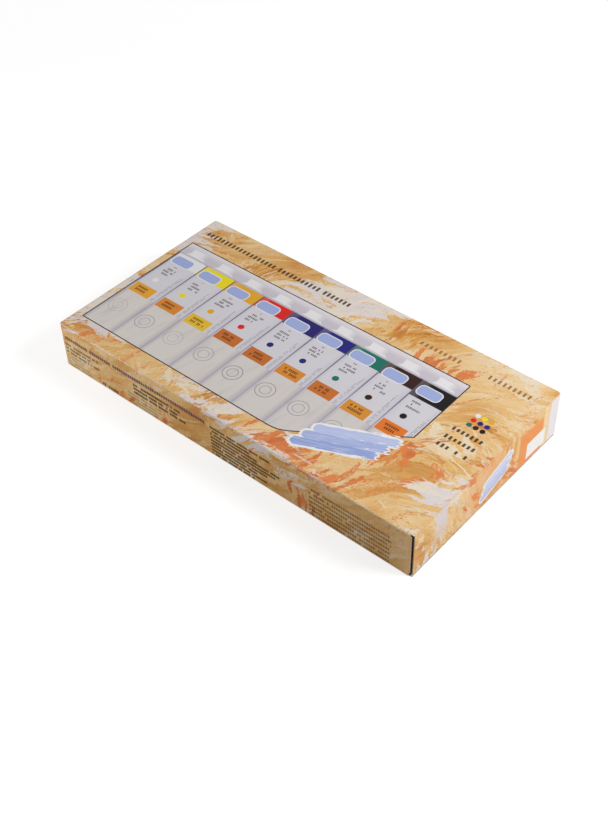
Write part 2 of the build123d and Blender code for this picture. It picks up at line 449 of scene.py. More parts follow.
@dataclass(frozen=True)
class ScatteredPaint:
    """One paint laid over the ground in patches of short strokes."""

    seed: float
    patch_scale: float
    rarity: float
    degrees: float
    length: float
    width: float
    light: Colour
    deep: Colour
    margin_share: float = 0.0


class PaintedGround(Effect):
    """The printed ground: short strokes of beige, ochre, orange and lilac white paint on a canvas."""

    title = "painted_ground"
    takes = {"Place": NOWHERE}
    gives = {"Colour": A_COLOUR}

    slant = 32.0
    oils = [
        (0.28, ink("CF8F4B")),
        (0.40, ink("DDA862")),
        (0.50, ink("E8BE80")),
        (0.61, ink("EDCC99")),
        (0.74, ink("ECDDC2")),
    ]
    cream = ink("F1E5CD")
    honey = ink("E8B24C")
    scattered = (
        ScatteredPaint(12.0, 0.023, 0.56, -30.0, 11.0, 2.4, honey, cream),
        ScatteredPaint(57.0, 0.016, 0.54, 68.0, 12.0, 2.8, ink("EC8E4E"), ink("CF6332"), -0.3),
        ScatteredPaint(91.0, 0.017, 0.59, 14.0, 15.0, 3.0, ink("DED9E0"), cream, 1.0),
        ScatteredPaint(33.0, 0.030, 0.64, 48.0, 6.0, 1.1, ink("B9652F"), honey),
    )

    def margins(self, bench: Bench, x: Signal, y: Signal) -> Signal:
        """More chalk at the left of the top and at its near right corner."""
        corner = bench.rise(x * 0.55 - y, 85.0, 125.0) * bench.rise(y, -79.0, -74.0) * 0.02
        return (bench.rise(x, -70.0, -150.0) * bench.rise(x, -154.0, -144.0) * 0.18
                + corner * bench.rise(x, 149.0, 144.0))

    def on_top(self, bench: Bench, x: Signal, y: Signal) -> Signal:
        """1 on the top and 0 off it, where the strokes laid over the ground are fewer."""
        return bench.rise(bench.most(abs(x) - HALF_LENGTH, abs(y) - HALF_WIDTH), 4.0, -1.0)

    def draw(self, bench: Bench, given: dict[str, Signal]) -> dict[str, Signal]:
        """Lay strokes of beige, then scattered honey, orange and chalk ones, and the grain of a canvas.

        Args:
            bench: bench of the group's tree.
            given: the place on the sheet.

        Returns:
            The colour.
        """
        place = given["Place"]
        x, y, _ = bench.axes(place)
        bent = bench.drifted(place, bench.drift(place, 0.014, 1.0), 60.0)
        ragged = bench.drifted(bent, bench.drift(place, 0.45, 3.0), 3.2)
        bristle = bench.streaks(bent, self.slant, 13.0, 1.7, 5.0)
        zones = bench.grain(place, 0.019, 1.0)
        own, _ = bench.daubs(ragged, self.slant, 14.0, 3.4, 31.0)
        top = self.on_top(bench, x, y)
        golden = bench.rise(x, 30.0, 130.0) * bench.rise(y, 10.0, -60.0) * top * 0.06
        calm = bench.rise(x, 20.0, 100.0) * bench.rise(y, 5.0, 55.0) * top * 0.10
        colour = bench.palette(zones * 0.74 + own * 0.20 + bristle * 0.22 - 0.08 - golden + calm, self.oils)
        margin = self.margins(bench, x, y)
        fewer = (1.0 - top) * 0.07 + calm * 1.1
        for paint in self.scattered:
            far_off = bench.turned(place, (paint.seed * 9.0, paint.seed), 20.0, (1.6, 1.0))
            patch = bench.grain(far_off, paint.patch_scale, 1.0) + margin * paint.margin_share - fewer
            likely = bench.rise(patch, paint.rarity - 0.10, paint.rarity + 0.16)
            picked, tint = bench.daubs(ragged, paint.degrees, paint.length, paint.width, paint.seed)
            hairs = bench.streaks(bent, paint.degrees, 8.0, 1.0, paint.seed)
            laid = bench.rise(likely - picked + (hairs - 0.5) * 0.9, -0.06, 0.14)
            shade = bench.mix(tint * 0.7 + hairs * 0.5 - 0.1, paint.light, paint.deep)
            colour = bench.mix(laid * 0.92, colour, shade)
        weave = bench.grain(place, 0.9, 2.0, 0.6) * 0.30 + bristle * 0.10 + 0.80
        return {"Colour": bench.mix(1.0, colour, bench.joined(weave, weave, weave), "MULTIPLY")}


class RoundedPatch(Effect):
    """Distance to the edge of a rectangle with round corners, negative inside."""

    title = "rounded_patch"
    takes = {"Place": NOWHERE, "Left": 0.0, "Right": 1.0, "Low": 0.0, "High": 1.0, "Corner": 0.1}
    gives = {"Distance": A_NUMBER}

    def draw(self, bench: Bench, given: dict[str, Signal]) -> dict[str, Signal]:
        """Fold the place into one quarter of the rectangle and measure from its corner.

        Args:
            bench: bench of the group's tree.
            given: the place, the four sides and the corner's radius.

        Returns:
            The distance.
        """
        place, left, right, low, high, corner = given.values()
        x, y, _ = bench.axes(place)
        beside = abs(x - (left + right) * 0.5) - (right - left) * 0.5 + corner
        above = abs(y - (low + high) * 0.5) - (high - low) * 0.5 + corner
        reach = bench.away(bench.most(beside, 0.0), bench.most(above, 0.0))
        within = bench.least(bench.most(beside, above), 0.0)
        return {"Distance": reach + within - corner}


class TypeRows(Effect):
    """Rows of small plain bars, set like lines of type."""

    title = "type_rows"
    takes = {
        "Place": NOWHERE, "Left": 0.0, "Right": 10.0, "Low": 0.0, "High": 10.0,
        "Rows": 1.0, "Letter": 1.0, "Body": 0.6, "Fill": 0.7, "Ragged": 0.0, "Gaps": 0.15, "Seed": 0.0,
    }
    gives = {"Mask": A_NUMBER}

    def draw(self, bench: Bench, given: dict[str, Signal]) -> dict[str, Signal]:
        """Cut the area into rows, end each row at its own place and fill it with spaced bars.

        Args:
            bench: bench of the group's tree.
            given: the place, the area's sides and how its rows are set.

        Returns:
            The mask, 1 on a bar.
        """
        place, left, right, low, high, rows, letter, body, fill, ragged, gaps, seed = given.values()
        x, y, _ = bench.axes(place)
        row, off_row = bench.cells((high - y) / (high - low) * rows)
        row_end = right - bench.chance(row, seed) * ragged * (right - left)
        cell, off_cell = bench.cells((x - left) / letter)
        own = bench.chance(cell + row * 37.0, seed + 3.0)
        tall = body * 0.5 * (own * 0.25 + 0.8)
        bars = bench.rise(abs(off_cell) - fill * 0.5, 0.06, -0.06)
        bars = bars * bench.rise(abs(off_row) - tall, 0.05, -0.05)
        kept = bench.maths("GREATER_THAN", bench.chance(cell, row + seed + 11.0), gaps)
        area = bench.between(x, left, row_end, 0.3) * bench.between(y, low, high)
        return {"Mask": bars * kept * area}


class TrialStrokes(Effect):
    """Three strokes of blue paint side by side, each with a pale rim, along x and centred on the origin."""

    title = "trial_strokes"
    takes = {"Place": NOWHERE, "Length": 40.0, "Width": 16.0}
    gives = {"Colour": A_COLOUR, "Mask": A_NUMBER, "Rim": A_NUMBER}

    paints = [ink("97A8DC"), ink("A9B6E3"), ink("BDC7EC")]
    thin_paint = ink("D3DAF2")

    def draw(self, bench: Bench, given: dict[str, Signal]) -> dict[str, Signal]:
        """Lay the strokes one above another, each a little further along, frayed where the brush lifts.

        Args:
            bench: bench of the group's tree.
            given: the place, and the length and width of the three together.

        Returns:
            The paint's colour, and masks of the paint and of paint and rim.
        """
        place, length, width = given.values()
        x, y, _ = bench.axes(place)
        stroke = width / len(self.paints)
        half = (length - stroke) * 0.43
        streak = bench.grain(bench.turned(place, (40.0, 5.0), 0.0, (16.0, 0.8)), 1.0, 3.0)
        worn = bench.rise(streak, 0.48, 0.72) * 0.8
        colour, mask, rim = self.thin_paint, 0.0, 0.0
        for number, paint in enumerate(self.paints):
            step = number - (len(self.paints) - 1) / 2
            along = x - length * 0.09 * step
            reach = bench.away(bench.most(abs(along) - half, 0.0), y - stroke * 0.97 * step)
            fray = bench.grain(bench.turned(place, (3.0, 9.0 * number), 0.0, (7.0, 1.3)), 1.0, 2.0)
            loose = bench.rise(along, half * -0.3, half) * stroke * 0.9 + stroke * 0.25
            distance = reach - stroke * 0.5 + (fray - 0.5) * loose
            covered = bench.inside(distance, 0.3)
            colour = bench.mix(covered, colour, bench.mix(worn, paint, self.thin_paint))
            mask = bench.most(covered, mask)
            rim = bench.most(bench.inside(distance - width * 0.08, 0.4), rim)
        return {"Colour": colour, "Mask": mask, "Rim": rim}


@dataclass(frozen=True)
class TypeBlock:
    """A block of plain bars, set like lines of type, in millimetres."""

    left: Value
    right: Value
    low: Value
    high: Value
    rows: float
    letter: float
    body: float = 0.55
    ragged: float = 0.0
    gaps: float = 0.12
    fill: float = 0.8
    shade: str = "3A241A"
    strength: float = 0.92

    def print_on(self, bench: Bench, place: Signal, colour: Signal, seed: Value) -> Signal:
        """Print the block over a colour.

        Args:
            bench: bench of the material or group.
            place: places in the block's own plane.
            colour: what the block is printed on.
            seed: makes its rows differ from those of other blocks.

        Returns:
            The printed colour.
        """
        names = ("left", "right", "low", "high", "rows", "letter", "body", "ragged", "gaps", "fill")
        own = {name: getattr(self, name) for name in names}
        mask = TypeRows().only(bench, place=place, seed=seed, **own)
        return bench.mix(mask * self.strength, colour, ink(self.shade))


class PicturedTubes(Effect):
    """The lid's picture: nine plain tubes side by side, each with its colour on the shoulder."""

    title = "pictured_tubes"
    takes = {"Place": NOWHERE}
    gives = {"Colour": A_COLOUR}

    pitch = 26.4
    first_middle = -124.2
    count = 9
    body_top = 30.6
    body_half = 12.7
    widening = 0.003
    shoulder_top = 34.2
    cap_top = 39.6
    cap_half = 6.4
    rib = 0.8
    band_low = 18.6
    last_band_deeper = 4.0
    label_low = -21.6
    bar_high = -11.4
    bar_left = -12.0
    bar_right = 6.4
    patch_sides = {"left": -12.0, "right": 5.6, "low": 17.6, "high": 27.4, "corner": 3.6}
    patch_rim = 0.7
    swatch_middle = (-3.8, -3.2)
    swatch_radius = 2.3
    rings_middle = (-4.2, -38.0)
    outer_ring = (6.2, 6.8)
    inner_ring = (3.4, 3.9)
    own_column = 64.0
    bands = ["E9E8EA", "F0DC1E", "E6A92C", "E2261E", "2A2470", "26287E", "1F7462", "3A1E18", "1C181A"]
    bars = ["E8A636", "DE8A30", "E8BE34", "C96F2E", "C8702F", "DC8C34", "CB7230", "DA9136", "E67A28"]
    backdrop = ink("E3DDE2")
    backdrop_shade = ink("CDC6CF")
    seam = ink("65596E")
    low_seam = ink("A39CAE")
    enamel = ink("DDD6D0")
    enamel_shade = ink("ADA7B6")
    label = ink("D8D7E3")
    type_ink = "3F3944"
    bar_type = "5E2C14"
    ring_ink = ink("8F889B")
    patch_blue = ink("A3B1DF")
    cap_light = ink("EFEDEE")

    def by_number(self, bench: Bench, number: Signal, codes: list[str]) -> Signal:
        """Colour of each tube by its number from the left."""
        stops = [(index / self.count, ink(code)) for index, code in enumerate(codes)]
        return bench.palette((number + 0.5) / self.count, stops, stepped=True)

    def cap_and_shoulder(self, bench: Bench, across: Signal, y: Signal, colour: Signal) -> Signal:
        """Lay the shoulder and the cap over the backdrop.

        Args:
            bench: bench of the group's tree.
            across: place from the tube's middle line.
            y: place along the tube.
            colour: the backdrop.

        Returns:
            The colour with both laid over it.
        """
        side = abs(across)
        slope = (self.shoulder_top - y) * 1.3 + self.cap_half
        shoulder = bench.inside(side - slope, 0.7)
        shoulder = shoulder * bench.between(y, self.body_top - 1.0, self.shoulder_top)
        metal = bench.mix(bench.rise(y, 33.6, 30.9) * 0.8, self.cap_light, self.enamel_shade)
        flare = (y - self.shoulder_top) * 0.08 + self.cap_half
        cap = bench.inside(side - flare, 0.6) * bench.between(y, self.shoulder_top - 0.6, self.cap_top, 0.6)
        ribs = bench.rise(bench.maths("PINGPONG", across, self.rib), 0.2, 0.6) * 0.15
        pale = bench.mix(bench.rise(across, 1.0, 7.0) * 0.4 + ribs, self.cap_light, self.enamel_shade)
        return bench.layered(colour, (shoulder, metal), (cap, pale))

    def body_skin(self, bench: Bench, number: Signal, across: Signal, y: Signal, turn: Signal,
                  dents: Signal) -> Signal:
        """Paint the enamel of the body with its band, patch, swatch, rings and bar.

        Args:
            bench: bench of the group's tree.
            number: the tube's number from the left.
            across: place from the tube's middle line.
            y: place along the tube.
            turn: place from the middle line as a share of the half width.
            dents: noise of the soft metal.

        Returns:
            The body's colour, without its type.
        """
        shade = bench.rise(turn, 0.62, 1.0) * 0.5 + bench.rise(turn, -0.74, -1.0) * 0.45
        shade = shade + bench.rise(dents, 0.50, 0.75) * 0.25 + number * 0.02
        label = bench.between(y, self.label_low, self.band_low, 0.3)
        last = bench.maths("GREATER_THAN", number, self.count - 1.5)
        band = bench.rise(y + last * self.last_band_deeper, self.band_low - 0.2, self.band_low + 0.2)
        paint = self.by_number(bench, number, self.bands)
        paler = bench.mix(bench.rise(turn, -0.45, -0.8) * 0.12, paint, self.enamel)
        patch = RoundedPatch().only(bench, place=bench.joined(across, y), **self.patch_sides)
        swatch = bench.away(across - self.swatch_middle[0], y - self.swatch_middle[1])
        ring = bench.away(across - self.rings_middle[0], y - self.rings_middle[1])
        outer, inner = (bench.between(ring, *edges, 0.4) for edges in (self.outer_ring, self.inner_ring))
        rings = bench.most(outer, inner)
        bar = bench.between(across, self.bar_left, self.bar_right, 0.3)
        bar = bar * bench.between(y, self.label_low, self.bar_high, 0.3)
        return bench.layered(
            self.enamel,
            (shade, self.enamel_shade),
            (label * 0.6, self.label),
            (band, paler),
            (bench.inside(patch, 0.4), self.cap_light),
            (bench.inside(patch + self.patch_rim, 0.4), self.patch_blue),
            (bench.inside(swatch - self.swatch_radius), paint),
            (rings * (bench.chance(number, 21.0) * 0.6 + 0.3), self.ring_ink),
            (bar, self.by_number(bench, number, self.bars)),
        )

    def type_on(self, bench: Bench, number: Signal, across: Signal, y: Signal, skin: Signal) -> Signal:
        """Print rows of small bars on the label, in the bar and along the right side.

        Args:
            bench: bench of the group's tree.
            number: the tube's number from the left.
            across: place from the tube's middle line.
            y: place along the tube.
            skin: the body's colour.

        Returns:
            The body's colour with its type.
        """
        home = number * self.own_column
        flat = bench.joined(across + home, y)
        upright = bench.joined(y, across + home)
        low = self.label_low
        bar_rows = (low + 2.2, self.bar_high - 1.8, 2.0)
        on_label = (0.15, 0.7, self.type_ink, 0.8)
        in_bar = (0.15, 0.7, self.bar_type, 0.85)
        up_side = (0.15, 0.7, self.type_ink, 0.5)
        blocks = (
            (flat, 3.0, TypeBlock(home - 8.0, home + 3.0, 3.6, 12.6, 3.0, 1.3, 0.6, 0.45, *on_label)),
            (flat, 9.0, TypeBlock(home - 4.1, home - 0.9, 14.0, 15.8, 1.0, 1.1, 0.6, 0.45, *on_label)),
            (flat, 40.0, TypeBlock(home - 8.5, home + 3.5, *bar_rows, 1.5, 0.7, 0.3, *in_bar)),
            (upright, 60.0, TypeBlock(low, 10.0, home + 8.2, home + 10.6, 2.0, 1.1, 0.6, 0.35, *up_side)),
        )
        for place, seed, block in blocks:
            skin = block.print_on(bench, place, skin, number + seed)
        return skin

    def draw(self, bench: Bench, given: dict[str, Signal]) -> dict[str, Signal]:
        """Repeat one tube across the picture, on a backdrop that is darkest between the tubes.

        Args:
            bench: bench of the group's tree.
            given: the place on the sheet.

        Returns:
            The colour.
        """
        x, y, _ = bench.axes(given["Place"])
        number, off_middle = bench.cells((x - self.first_middle) / self.pitch + 0.5)
        across = off_middle * self.pitch
        lift = (bench.chance(number, 4.0) - 0.5) * 1.8
        half = (self.body_top - y) * self.widening + self.body_half
        dents = bench.grain(bench.turned(given["Place"], (2.0, 7.0), 82.0, (30.0, 5.0)), 1.0, 2.0)
        between_tubes = bench.mix(bench.rise(y, 10.0, -30.0), self.seam, self.low_seam)
        gloom = bench.mix(bench.rise(y, 43.0, 36.5), self.backdrop, self.backdrop_shade)
        colour = bench.mix(bench.rise(y, self.body_top + 1.5, self.body_top - 1.0), gloom, between_tubes)
        colour = self.cap_and_shoulder(bench, across, y, colour)
        skin = self.body_skin(bench, number, across, y - lift, across / half, dents)
        skin = self.type_on(bench, number, across, y - lift, skin)
        body = bench.inside(abs(across) - half, 0.9)
        body = body * bench.rise(y, self.body_top + 0.3, self.body_top - 0.3)
        return {"Colour": bench.mix(body, colour, skin)}


class CreaseWear(Effect):
    """Where handling has rubbed the print off the creases, 0 to 1, by distance from the crease."""

    title = "crease_wear"
    takes = {"Place": NOWHERE, "Distance": 0.0}
    gives = {"Mask": A_NUMBER}

    def draw(self, bench: Bench, given: dict[str, Signal]) -> dict[str, Signal]:
        """Rub a thin broken line on the fold, with a few wider spots.

        Args:
            bench: bench of the group's tree.
            given: the place on the sheet and its distance from the nearest crease.

        Returns:
            The mask.
        """
        place, distance = given.values()
        fine = bench.grain(place, 0.9, 3.0, 0.6)
        reach = bench.rise(bench.grain(place, 0.05, 2.0), 0.42, 0.62) * 0.9 + 0.25
        return {"Mask": bench.rise(distance / reach, 1.0, 0.3) * bench.rise(fine, 0.36, 0.56)}


class BoardFibres(Effect):
    """Uncoated grey board: short fibres, specks and a faint mottle."""

    title = "board_fibres"
    takes = {"Place": NOWHERE}
    gives = {"Colour": A_COLOUR, "Height": A_NUMBER}

    light = ink("D3CDC3")
    dark = ink("B5AD9F")
    speck = ink("8C8172")

    def draw(self, bench: Bench, given: dict[str, Signal]) -> dict[str, Signal]:
        """Lay two directions of fibre over a mottle, with sparse dark specks.

        Args:
            bench: bench of the group's tree.
            given: the place on the board.

        Returns:
            The colour and the fibres' height.
        """
        place = given["Place"]
        fibres = bench.streaks(place, 18.0, 2.6, 0.25, 4.0) + bench.streaks(place, -37.0, 2.2, 0.25, 9.0)
        fibres = fibres * 0.5
        mottle = bench.grain(place, 0.3, 3.0)
        colour = bench.mix(bench.rise(fibres * 0.6 + mottle * 0.4, 0.40, 0.62), self.light, self.dark)
        specks = bench.rise(bench.grain(place, 1.9, 1.0), 0.70, 0.76)
        return {"Colour": bench.mix(specks * 0.6, colour, self.speck), "Height": fibres}


class TubeLivery(Effect):
    """Where a tube carries its band, bar and type. Places are measured from its shoulder's centre."""

    title = "tube_livery"
    takes = {"Place": NOWHERE, "Radius": 14.0, "Seed": 0.0}
    gives = {"Band": A_NUMBER, "Bar": A_NUMBER, "Type": A_NUMBER, "Dent": A_NUMBER}

    band_reach = (-13.0, 0.4)
    bar_across = (-12.0, 8.0)
    bar_along = (-58.0, -46.0)
    lines = {"left": -8.0, "right": 8.0, "low": -36.0, "high": -22.0, "rows": 4.0, "letter": 1.5,
             "body": 0.5, "ragged": 0.4}

    def draw(self, bench: Bench, given: dict[str, Signal]) -> dict[str, Signal]:
        """Unroll the tube about its axis and mark the areas, with the label facing up.

        Args:
            bench: bench of the group's tree.
            given: the place, the tube's radius and a seed for its type.

        Returns:
            Masks of the band, bar and type, and the noise of the soft metal.
        """
        place, radius, seed = given.values()
        x, y, z = bench.axes(place)
        girth = bench.maths("ARCTAN2", x, z) * radius
        flat = bench.joined(girth, y)
        return {
            "Band": bench.between(y, *self.band_reach),
            "Bar": bench.between(girth, *self.bar_across) * bench.between(y, *self.bar_along),
            "Type": TypeRows().only(bench, place=flat, seed=seed, **self.lines),
            "Dent": bench.grain(bench.turned(flat, (0.0, 0.0), 80.0, (34.0, 9.0)), 1.0, 2.0),
        }


# The print on the carton

class Face(Enum):
    """The carton's printed faces."""

    TOP = "top"
    FRONT = "front"
    BACK = "back"
    BASE = "base"
    RIGHT_END = "right_end"
    LEFT_END = "left_end"

    @classmethod
    def of_side(cls, side: int) -> "Face":
        """The face of a long side, -1 for the front and 1 for the back."""
        return cls.FRONT if side < 0 else cls.BACK

    @classmethod
    def of_end(cls, end: int) -> "Face":
        """The face of an end, -1 for the left and 1 for the right."""
        return cls.LEFT_END if end < 0 else cls.RIGHT_END


@dataclass(frozen=True)
class StrokesPatch:
    """Three strokes of pale blue paint with a white rim, in millimetres on the unfolded sheet."""

    middle: tuple[float, float]
    tilt: float
    length: float
    width: float
    fade: float = 0.0
    rim: str = "F3F2F0"

    def print_on(self, bench: Bench, place: Signal, colour: Signal) -> Signal:
        """Lay the strokes over a colour.

        Args:
            bench: bench of the material.
            place: places on the sheet.
            colour: what the strokes are laid on.

        Returns:
            The printed colour.
        """
        local = bench.turned(place, self.middle, self.tilt)
        strokes = TrialStrokes().place(bench, place=local, length=self.length, width=self.width)
        paint = bench.mix(self.fade, strokes["Colour"], ink(self.rim))
        return bench.layered(colour, (strokes["Rim"], ink(self.rim)), (strokes["Mask"], paint))


@dataclass(frozen=True)
class EndBand:
    """A band of colour up an end's print, with a wavering edge, in millimetres along y."""

    low: float
    high: float
    soft: float
    wavering: float
    strength: float
    shade: str


@dataclass(frozen=True)
class CartonPrint:
    """Artwork of the carton's outside, face by face, in millimetres on the unfolded sheet.

    The front's type is placed by its height over the table.
    """

    half_length: float = 144.8
    half_width: float = 74.8
    wall_zero: float = 109.571
    end_zero: float = 179.571
    base_zero: float = 184.0
    base_crease: float = 109.2
    flap_fold: float = 143.6
    slit: tuple[float, float] = (143.85, 147.0)
    # Painted shade: near-black brown laid past the folds into the dust flaps, where the slit beside each
    # closure is dark in shadow.
    painted_slit_shade: str = "38180C"
    window: tuple[float, float, float, float] = (-138.3, 99.0, -59.6, 44.2)
    window_corner: float = 0.8
    window_line: float = 0.8
    cut_start: tuple[float, float] = (38.0, -56.0)
    cut_slope: float = 0.70
    cut_scale: float = 0.82
    cut_rounding: float = 7.0
    line_ink: str = "2E1C18"
    top_strokes: StrokesPatch = StrokesPatch((69.5, -41.5), 24.0, 60.0, 20.0)
    end_strokes: StrokesPatch = StrokesPatch((163.071, 7.0), 106.0, 33.0, 13.5, 0.35)
    label: tuple[float, float, float, float] = (162.371, 175.371, 40.0, 60.0)
    label_corner: float = 0.6
    label_white: str = "F3F2F0"
    dot_pitch: float = 4.8
    dot_radius: float = 1.8
    dots_corner: tuple[float, float] = (115.3, 28.0)
    rubbed: str = "F0E2CC"
    # Painted shade: darker brown laid along the creases between the top and the ends.
    end_crease_painted_shade: str = "B8824C"
    # Painted shade: the front darkens towards its right end.
    front_painted_shade: str = "B07C4A"
    # Painted highlight: a paler band on the front just before the fold into the right end.
    front_painted_highlight: str = "F2BE84"
    type_on_top: tuple[TypeBlock, ...] = (
        TypeBlock(-138.0, -73.5, 56.4, 61.4, 1, 3.4, 0.9, gaps=0.0, fill=0.52),
        TypeBlock(-71.0, -33.6, 56.4, 61.4, 1, 3.4, 0.9, gaps=0.0, fill=0.52),
        TypeBlock(-31.0, -7.4, 56.4, 61.4, 1, 3.4, 0.9, gaps=0.0, fill=0.52),
        TypeBlock(111.0, 134.0, 6.0, 9.8, 1, 3.2, 0.9, gaps=0.0, fill=0.54),
        TypeBlock(111.0, 134.0, -2.0, 1.8, 1, 3.2, 0.9, gaps=0.14, fill=0.54),
        TypeBlock(111.0, 134.0, -10.0, -6.2, 1, 3.2, 0.9, gaps=0.2, fill=0.54),
        TypeBlock(50.0, 83.0, 56.2, 60.6, 1, 3.6, 0.9, gaps=0.0, fill=0.44, shade="9A6A40"),
        TypeBlock(102.0, 135.0, 56.2, 60.6, 1, 3.6, 0.9, gaps=0.0, fill=0.44, shade="9A6A40"),
    )
    type_on_front: tuple[TypeBlock, ...] = (
        TypeBlock(-141.2, -13.4, 23.6, 26.8, 1, 2.0, 0.9, shade="5E4258"),
        TypeBlock(-141.5, -108.0, 11.8, 21.2, 3, 1.3, 0.62, ragged=0.45, strength=0.8),
        TypeBlock(-141.5, -118.0, 1.0, 11.4, 4, 1.2, 0.55, ragged=0.35, strength=0.5),
        TypeBlock(-109.0, -91.0, 1.2, 4.6, 1, 2.0, 0.8, gaps=0.2, strength=0.8),
        TypeBlock(-77.0, -25.0, 11.9, 21.6, 3, 1.4, 0.66, ragged=0.3, fill=0.86),
        TypeBlock(-83.5, -52.0, 0.9, 11.6, 4, 1.2, 0.55, ragged=0.3, strength=0.5),
        TypeBlock(-9.0, 47.5, 0.8, 25.6, 9, 1.4, 0.66, ragged=0.55, fill=0.88),
        TypeBlock(70.0, 130.5, 0.7, 25.0, 7, 1.7, 0.58, ragged=0.03, strength=0.66),
    )
    peach_wash: EndBand = EndBand(-22.0, 16.0, 34.0, 0.0, 0.45, "EC9E64")
    pale_streak: EndBand = EndBand(-54.0, -43.0, 3.0, 1.0, 0.8, "DDD8E0")
    orange_block: EndBand = EndBand(31.0, 57.0, 1.0, 0.15, 0.9, "F09650")
    cream_band: EndBand = EndBand(57.0, 63.0, 1.5, 0.2, 0.7, "F3DDB0")
    white_band: EndBand = EndBand(63.5, 80.0, 1.0, 0.3, 0.9, "EBE8EF")

    def ground(self, bench: Bench, place: Signal) -> Signal:
        """The painted ground at a place."""
        return PaintedGround().only(bench, place=place)

    def patch(self, bench: Bench, place: Signal, sides: tuple[float, float, float, float],
              corner: float) -> Signal:
        """Distance to the edge of a round-cornered patch, given by its left, right, low and high sides."""
        named = dict(zip(("left", "right", "low", "high"), sides))
        return RoundedPatch().only(bench, place=place, corner=corner, **named)

    def top(self, bench: Bench, place: Signal) -> Signal:
        """Draw the ground, framed picture, strokes, heading, rows of bars and colour dots.

        Args:
            bench: bench of the material.
            place: places on the sheet.

        Returns:
            The printed colour.
        """
        x, y, _ = bench.axes(place)
        slant = (x - self.cut_start[0]) * self.cut_slope - (y - self.cut_start[1])
        near_edge = bench.maths("SMOOTH_MAX", self.window[2] - y, slant * self.cut_scale, self.cut_rounding)
        opening = bench.most(self.patch(bench, place, self.window, self.window_corner), near_edge)
        picture = PicturedTubes().only(bench, place=place)
        line = bench.inside(abs(opening) - self.window_line / 2)
        colour = bench.layered(self.ground(bench, place), (bench.inside(opening), picture),
                               (line, ink(self.line_ink)))
        colour = self.top_strokes.print_on(bench, place, colour)
        for number, block in enumerate(self.type_on_top):
            colour = block.print_on(bench, place, colour, 3.0 + number)
        return self.dots(bench, x, y, colour)

    def dots(self, bench: Bench, x: Signal, y: Signal, colour: Signal) -> Signal:
        """Print nine round dots, one for each paint, three by three.

        Args:
            bench: bench of the material.
            x: place across the top.
            y: place up the top.
            colour: what the dots are printed on.

        Returns:
            The printed colour.
        """
        column = (x - self.dots_corner[0]) / self.dot_pitch
        row = (self.dots_corner[1] - y) / self.dot_pitch
        in_column, off_x = bench.cells(column)
        in_row, off_y = bench.cells(row)
        dot = bench.inside(bench.away(off_x, off_y) * self.dot_pitch - self.dot_radius)
        dot = dot * bench.between(column, 0.0, 3.0, 0.02) * bench.between(row, 0.0, 3.0, 0.02)
        paints = PicturedTubes()
        return bench.mix(dot, colour, paints.by_number(bench, in_row * 3.0 + in_column, paints.bands))

    def front(self, bench: Bench, place: Signal) -> Signal:
        """Draw the ground, a heading and blocks of small bars, with painted shade darker to the right and a
        painted highlight before the fold.

        Args:
            bench: bench of the material.
            place: places on the sheet.

        Returns:
            The printed colour.
        """
        x, y, _ = bench.axes(place)
        over_table = bench.joined(x, y + self.wall_zero)
        colour = self.ground(bench, place)
        for number, block in enumerate(self.type_on_front):
            colour = block.print_on(bench, over_table, colour, 20.0 + number)
        # Painted shade darkens the front towards its right end, and a painted highlight lightens it just
        # before the fold.
        return bench.layered(colour, (bench.rise(x, 40.0, 140.0) * 0.22, ink(self.front_painted_shade)),
                             (bench.rise(x, 139.6, 141.4) * 0.55, ink(self.front_painted_highlight)))

    def right_end(self, bench: Bench, place: Signal) -> Signal:
        """Draw the ground, the bands of colour, small strokes and a white label.

        Args:
            bench: bench of the material.
            place: places on the sheet.

        Returns:
            The printed colour.
        """
        x, y, _ = bench.axes(place)
        colour = self.ground(bench, place)
        beyond = bench.rise(x, self.half_length - 0.2, self.half_length + 0.2)
        waver = (bench.streaks(place, 0.0, 9.0, 3.0, 51.0) - 0.5) * 5.0
        bands = (
            (self.peach_wash, beyond),
            (self.pale_streak, beyond * bench.rise(x, 178.0, 150.0)),
            (self.orange_block, bench.rise(x - y * 0.1, 144.0, 148.0)),
            (self.cream_band, beyond),
            (self.white_band, beyond),
        )
        for band, within in bands:
            covered = bench.between(y + waver * band.wavering, band.low, band.high, band.soft)
            colour = bench.mix(covered * within * band.strength, colour, ink(band.shade))
        colour = self.end_strokes.print_on(bench, place, colour)
        label = self.patch(bench, place, self.label, self.label_corner)
        return bench.mix(bench.inside(label), colour, ink(self.label_white))

    def colour(self, bench: Bench, place: Signal, face: Face) -> Signal:
        """Print one face and rub its creases, with painted shade along the creases between the top and the
        ends and in the slits beside the closures. Faces that the photograph doesn't show are plain ground.

        Args:
            bench: bench of the material.
            place: places on the sheet.
            face: the face.

        Returns:
            The printed colour.
        """
        draw = {Face.TOP: self.top, Face.FRONT: self.front, Face.RIGHT_END: self.right_end}
        colour = draw.get(face, self.ground)(bench, place)
        x, y, _ = bench.axes(place)
        on_side = face in (Face.FRONT, Face.BACK)
        beside = abs(abs(x) - (self.flap_fold if on_side else self.half_length))
        above = abs(abs(y) - self.half_width)
        below = abs(abs(y) - self.base_crease)
        distance = bench.least(bench.least(beside, above), below)
        wear = CreaseWear().only(bench, place=place, distance=distance)
        if not on_side:
            # Painted shade along the creases between the top and the ends.
            colour = bench.mix(bench.rise(beside, 1.3, 0.2) * 0.45, colour, ink(self.end_crease_painted_shade))
            wear = wear * bench.rise(beside, 0.6, 1.6)
        colour = bench.mix(wear * 0.6, colour, ink(self.rubbed))
        if on_side:
            # Painted shade in the slit beside the closure, past the fold into the dust flap.
            colour = bench.mix(bench.between(abs(x), *self.slit) * 0.9, colour, ink(self.painted_slit_shade))
        return colour


ARTWORK = CartonPrint()


# Finishes

